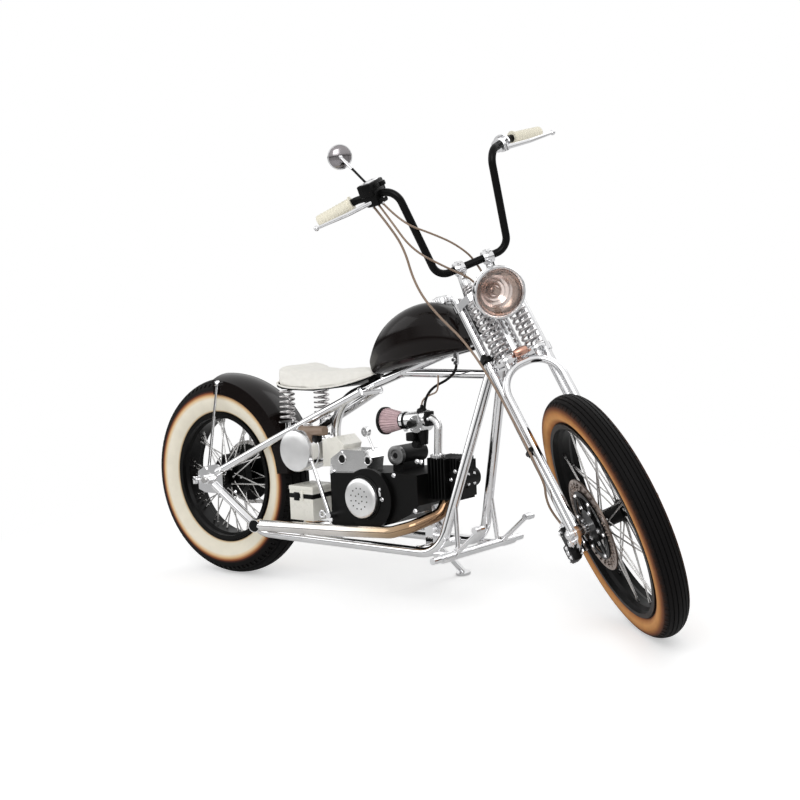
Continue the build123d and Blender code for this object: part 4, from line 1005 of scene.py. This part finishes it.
def makeCaliper():
    bolts = bmesh.new()
    addBolts(bolts, caliper["bolts"], right, 7, 7)
    addRod(bolts, *caliper["banjo"], 7, sides=6)
    addRod(bolts, *caliper["bleeder"], 3.4)
    addBolts(bolts, caliper["bodyBolts"], right, 5, 6)
    finishPiece("caliper_bolts", bolts, "brightChrome", "fork")
    body = bmesh.new()
    addBlocks(body, caliper["body"])
    finishPiece("caliper_body", body, "blackCasting", "fork")


makeForkNuts()
makeCaliper()
turnedPiece("copper_roll", copperRoll["half"], shift(copperRoll["at"]) @ downAlongY, 36, "wornCopper",
            "fork")  # between the springs, on the lower tree

# Frame: weld beads, axle nuts and chain adjusters, the boxes' trim with black bands of painted shade, the pegs' rings
# and the exhaust's tip with painted shade in its mouth
welds = (((345, 92, 173), (345, 100, 173), 13.4, 2), ((880, 92, 173), (880, 100, 173), 13.4, 2),
         ((634, 43, 634), (600, 47.7, 618.2), 13.6, 2), ((64, 106, 362), (100, 103, 381), 13.6, 2.2),
         ((60, 108, 288), (90, 108, 268), 15.6, 2.2), ((352, 80, 512), (352, 80, 520), 9.6, 2))
headWeld = ((772, 0, 692), (790, 0, 692), 13.6, 2.2)
axleEnd = {"nut": (0, 110, 331.5), "block": (-60, 108, 326), "rod": ((-78, 108, 326), (-6, 118, 330)),
           "rodNut": (-66, 108, 326),
           "plateBolts": (((44, 110, 357), 8, 7), ((44, 110, 306), 8, 7), ((28, 81.3, 650), 7.5, 6),
                          ((-12, 104, 366), 7, 10))}
canister = {"face": (428, -132, 451), "beads": (-50, -90), "neck": (428, -70, 513),
            "cap": ((64.2, -14), (66, -12), (66, -4), (63, 2), (56, 4), (40, 5.5), (0, 7)),
            "filler": ((0, -4), (14, -4), (14, 6), (16, 8), (16, 16), (13, 18), (0, 18))}
# trim: black bands on the battery box, painted shade
boxes = {"trim": (((102, 108, 15), (418.7, -51, 304), 1.5), ((22, 5, 26), (400, -105, 302), 1.5)),
         "lid": (((105, 110, 14), (418.7, -51, 329), 3), ((10, 6, 30), (424, -106, 304), 1.5)),
         "roll": ((412, -85, 508), (516, -85, 513), 17, 15), "bracket": (((56, 24, 22), (465, -85, 488), 4),)}
pegs = {"bar": (1032, 178), "barRings": 6, "pedal": (1127, 262), "pedalRings": 4, "nut": (1032, 104, 192)}
tankCap = {"tankAt": (684, 0, 686), "slope": 12.2, "at": (288, 0, 138), "knurls": 24, "knurl": (2.4, 3, 15),
           "knurlAt": (30, 0, 23), "half": ((28.2, 14), (30, 16), (30, 30), (27, 34), (18, 37), (0, 38))}
# inside: a black disc set inside the tip's mouth, painted shade of the pipe's inside
exhaust = {"mouth": ((268, -151, 208), (275, -178, 208)), "inside": ((0, 26), (18.8, 26), (18.8, 20), (0, 20)),
           "tip": ((14, -12), (20, -4), (21, 2), (21, 27), (18.6, 27), (18.6, 4), (14, 0))}


def makeWelds():
    bm = bmesh.new()
    for side in (1, -1):
        for start, end, radius, wire in welds:
            addRing(bm, aim(sided(start, side), sided(end, side)), radius, wire)
    start, end, radius, wire = headWeld
    addRing(bm, aim(start, end), radius, wire)
    finishPiece("frame_welds", bm, "brightChrome")


def makeAxleEnds():
    bm = bmesh.new()
    for side in (1, -1):
        out = (0, side, 0)
        addBolt(bm, sided(axleEnd["nut"], side), out, 17, 16)
        addBlock(bm, (12, 30, 26), shift(sided(axleEnd["block"], side)), 2)
        addRod(bm, *(sided(spot, side) for spot in axleEnd["rod"]), 4, sides=12)
        addBolt(bm, sided(axleEnd["rodNut"], side), behind, 7, 9)
        for spot, radius, height in axleEnd["plateBolts"]:
            addBolt(bm, sided(spot, side), out, radius, height)
    finishPiece("axle_nuts_and_adjusters", bm, "brightChrome")


def makeCanister():
    bm = bmesh.new()
    x, _, z = canister["face"]
    addTurned(bm, canister["cap"], shift(canister["face"]) @ downAlongY, 72)
    for y in canister["beads"]:
        addRing(bm, shift((x, y, z)) @ upAlongY, 64.4, 1.8, 72)
    addTurned(bm, canister["filler"], shift(canister["neck"]), 32)
    finishPiece("canister_cap_and_beads", bm, "satinChrome")


def makeBoxTrim():
    trim, lid, roll, bracket = (bmesh.new() for _ in range(4))
    # black bands on the box: painted shade
    addBlocks(trim, boxes["trim"])
    finishPiece("battery_box_trim", trim, "blackRubber")
    addBlocks(lid, boxes["lid"])
    finishPiece("battery_box_lid", lid, "creamPaint")
    addRod(roll, *boxes["roll"], sides=32)
    finishPiece("side_box_roll", roll, "tanSheath")
    addBlocks(bracket, boxes["bracket"])
    finishPiece("side_box_bracket", bracket, "blackCasting")


def makePegRings():
    bm = bmesh.new()
    for side in (1, -1):
        for n in range(pegs["barRings"]):
            x, z = pegs["bar"]
            addRing(bm, shift((x, side * (126 + n * 9), z)) @ upAlongY, 12.6, 2.4)
        for n in range(pegs["pedalRings"]):
            x, z = pegs["pedal"]
            addRing(bm, shift((x, side * (124 + n * 6), z)) @ upAlongY, 8.6, 2)
        addDomeNut(bm, sided(pegs["nut"], side), up, 7, 8)
    finishPiece("peg_rings", bm, "brightChrome")


def makeTankCap():
    bm = bmesh.new()
    slope = Matrix.Rotation(math.radians(-tankCap["slope"]), 4, "Y")
    place = shift(tankCap["tankAt"]) @ slope @ shift(tankCap["at"])
    addTurned(bm, tankCap["half"], place, 48)
    for n in range(tankCap["knurls"]):
        turn = Matrix.Rotation(math.tau * n / tankCap["knurls"], 4, "Z")
        addBlock(bm, tankCap["knurl"], place @ turn @ shift(tankCap["knurlAt"]), 0.6)
    finishPiece("fuel_cap_knurled", bm, "brightChrome")


makeWelds()
makeAxleEnds()
makeCanister()
makeBoxTrim()
makePegRings()
makeTankCap()
mouth = aim(*exhaust["mouth"])
turnedPiece("exhaust_tip", exhaust["tip"], mouth, 48, "heatedChrome", closed=True)
# black disc inside the mouth: painted shade
turnedPiece("exhaust_mouth_shade", exhaust["inside"], mouth, 40, "blackRubber")
print("frame detailed")

# Seat: the cushion is a cloth form swelled by pressure over its pan, with piping round its foot
cushion = {"shrink": (0.97, 0.95, 0.86), "drop": 0.0015, "voxel": 0.005, "panSide": -0.4, "pressure": 4.0,
           "frames": 20, "farthest": 0.010, "smoothings": 3}
pipingRoute = ((672, -24, 688), (640, -31, 676), (560, -61, 652), (480, -91, 644), (400, -104, 645), (356, -110, 651),
               (328, -103, 660), (320, -60, 666), (320, 60, 666), (328, 103, 660), (356, 110, 651), (400, 104, 645),
               (480, 91, 644), (560, 61, 652), (640, 31, 676), (672, 24, 688))


def readMesh(piece):
    state = bpy.context.evaluated_depsgraph_get()
    return bpy.data.meshes.new_from_object(piece.evaluated_get(state))


def makeCushion():
    bm = bmesh.new()
    bm.from_mesh(frame["nodes"]["seat_cushion"].data)
    bmesh.ops.remove_doubles(bm, verts=bm.verts, dist=0.00005)
    low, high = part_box("seat_cushion")
    middle = (low + high) / 2
    bmesh.ops.scale(bm, vec=cushion["shrink"], space=shift(-middle), verts=bm.verts)
    bmesh.ops.translate(bm, vec=(0, 0, -cushion["drop"]), verts=bm.verts)
    mesh = bpy.data.meshes.new("seat_cushion_stuffed")
    bm.to_mesh(mesh)
    bm.free()
    piece = bpy.data.objects.new("seat_cushion_stuffed", mesh)
    bpy.context.scene.collection.objects.link(piece)
    even = piece.modifiers.new("even", "REMESH")
    even.mode = "VOXEL"
    even.voxel_size = cushion["voxel"]
    piece.data = readMesh(piece)
    piece.modifiers.clear()
    bikeUp = leanTurn.to_3x3() @ Vector(up)
    onPan = piece.vertex_groups.new(name="onPan")
    onPan.add([corner.index for corner in piece.data.vertices if corner.normal.dot(bikeUp) < cushion["panSide"]],
              1.0, "REPLACE")
    cloth = piece.modifiers.new("stuffing", "CLOTH")
    cloth.settings.use_pressure = True
    cloth.settings.uniform_pressure_force = cushion["pressure"]
    cloth.settings.effector_weights.gravity = 0
    cloth.settings.vertex_group_mass = "onPan"
    cloth.point_cache.frame_start = 1
    cloth.point_cache.frame_end = cushion["frames"]
    scene = bpy.context.scene
    for step in range(1, cushion["frames"] + 1):
        scene.frame_set(step)
    swelled = readMesh(piece)
    for start, corner in zip(piece.data.vertices, swelled.vertices):
        move = corner.co - start.co
        if move.length > cushion["farthest"]:
            corner.co = start.co + move.normalized() * cushion["farthest"]
    piece.modifiers.clear()
    piece.data = swelled
    scene.frame_set(1)
    piece.vertex_groups.clear()
    bm = bmesh.new()
    bm.from_mesh(piece.data)
    for _ in range(cushion["smoothings"]):
        bmesh.ops.smooth_vert(bm, verts=bm.verts, factor=0.5, use_axis_x=True, use_axis_y=True, use_axis_z=True)
    for face in bm.faces:
        face.smooth = True
    bm.to_mesh(piece.data)
    bm.free()
    rounded = piece.modifiers.new("rounded", "SUBSURF")
    rounded.levels = 1
    rounded.render_levels = 1
    piece.data.materials.clear()
    piece.data.materials.append(materials["creamLeather"])
    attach(piece, "frame")
    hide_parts("seat_cushion")


makeCushion()
makeCable("seat_piping", pipingRoute, 6, "creamLeather", closed=True)
print("seat stuffed")
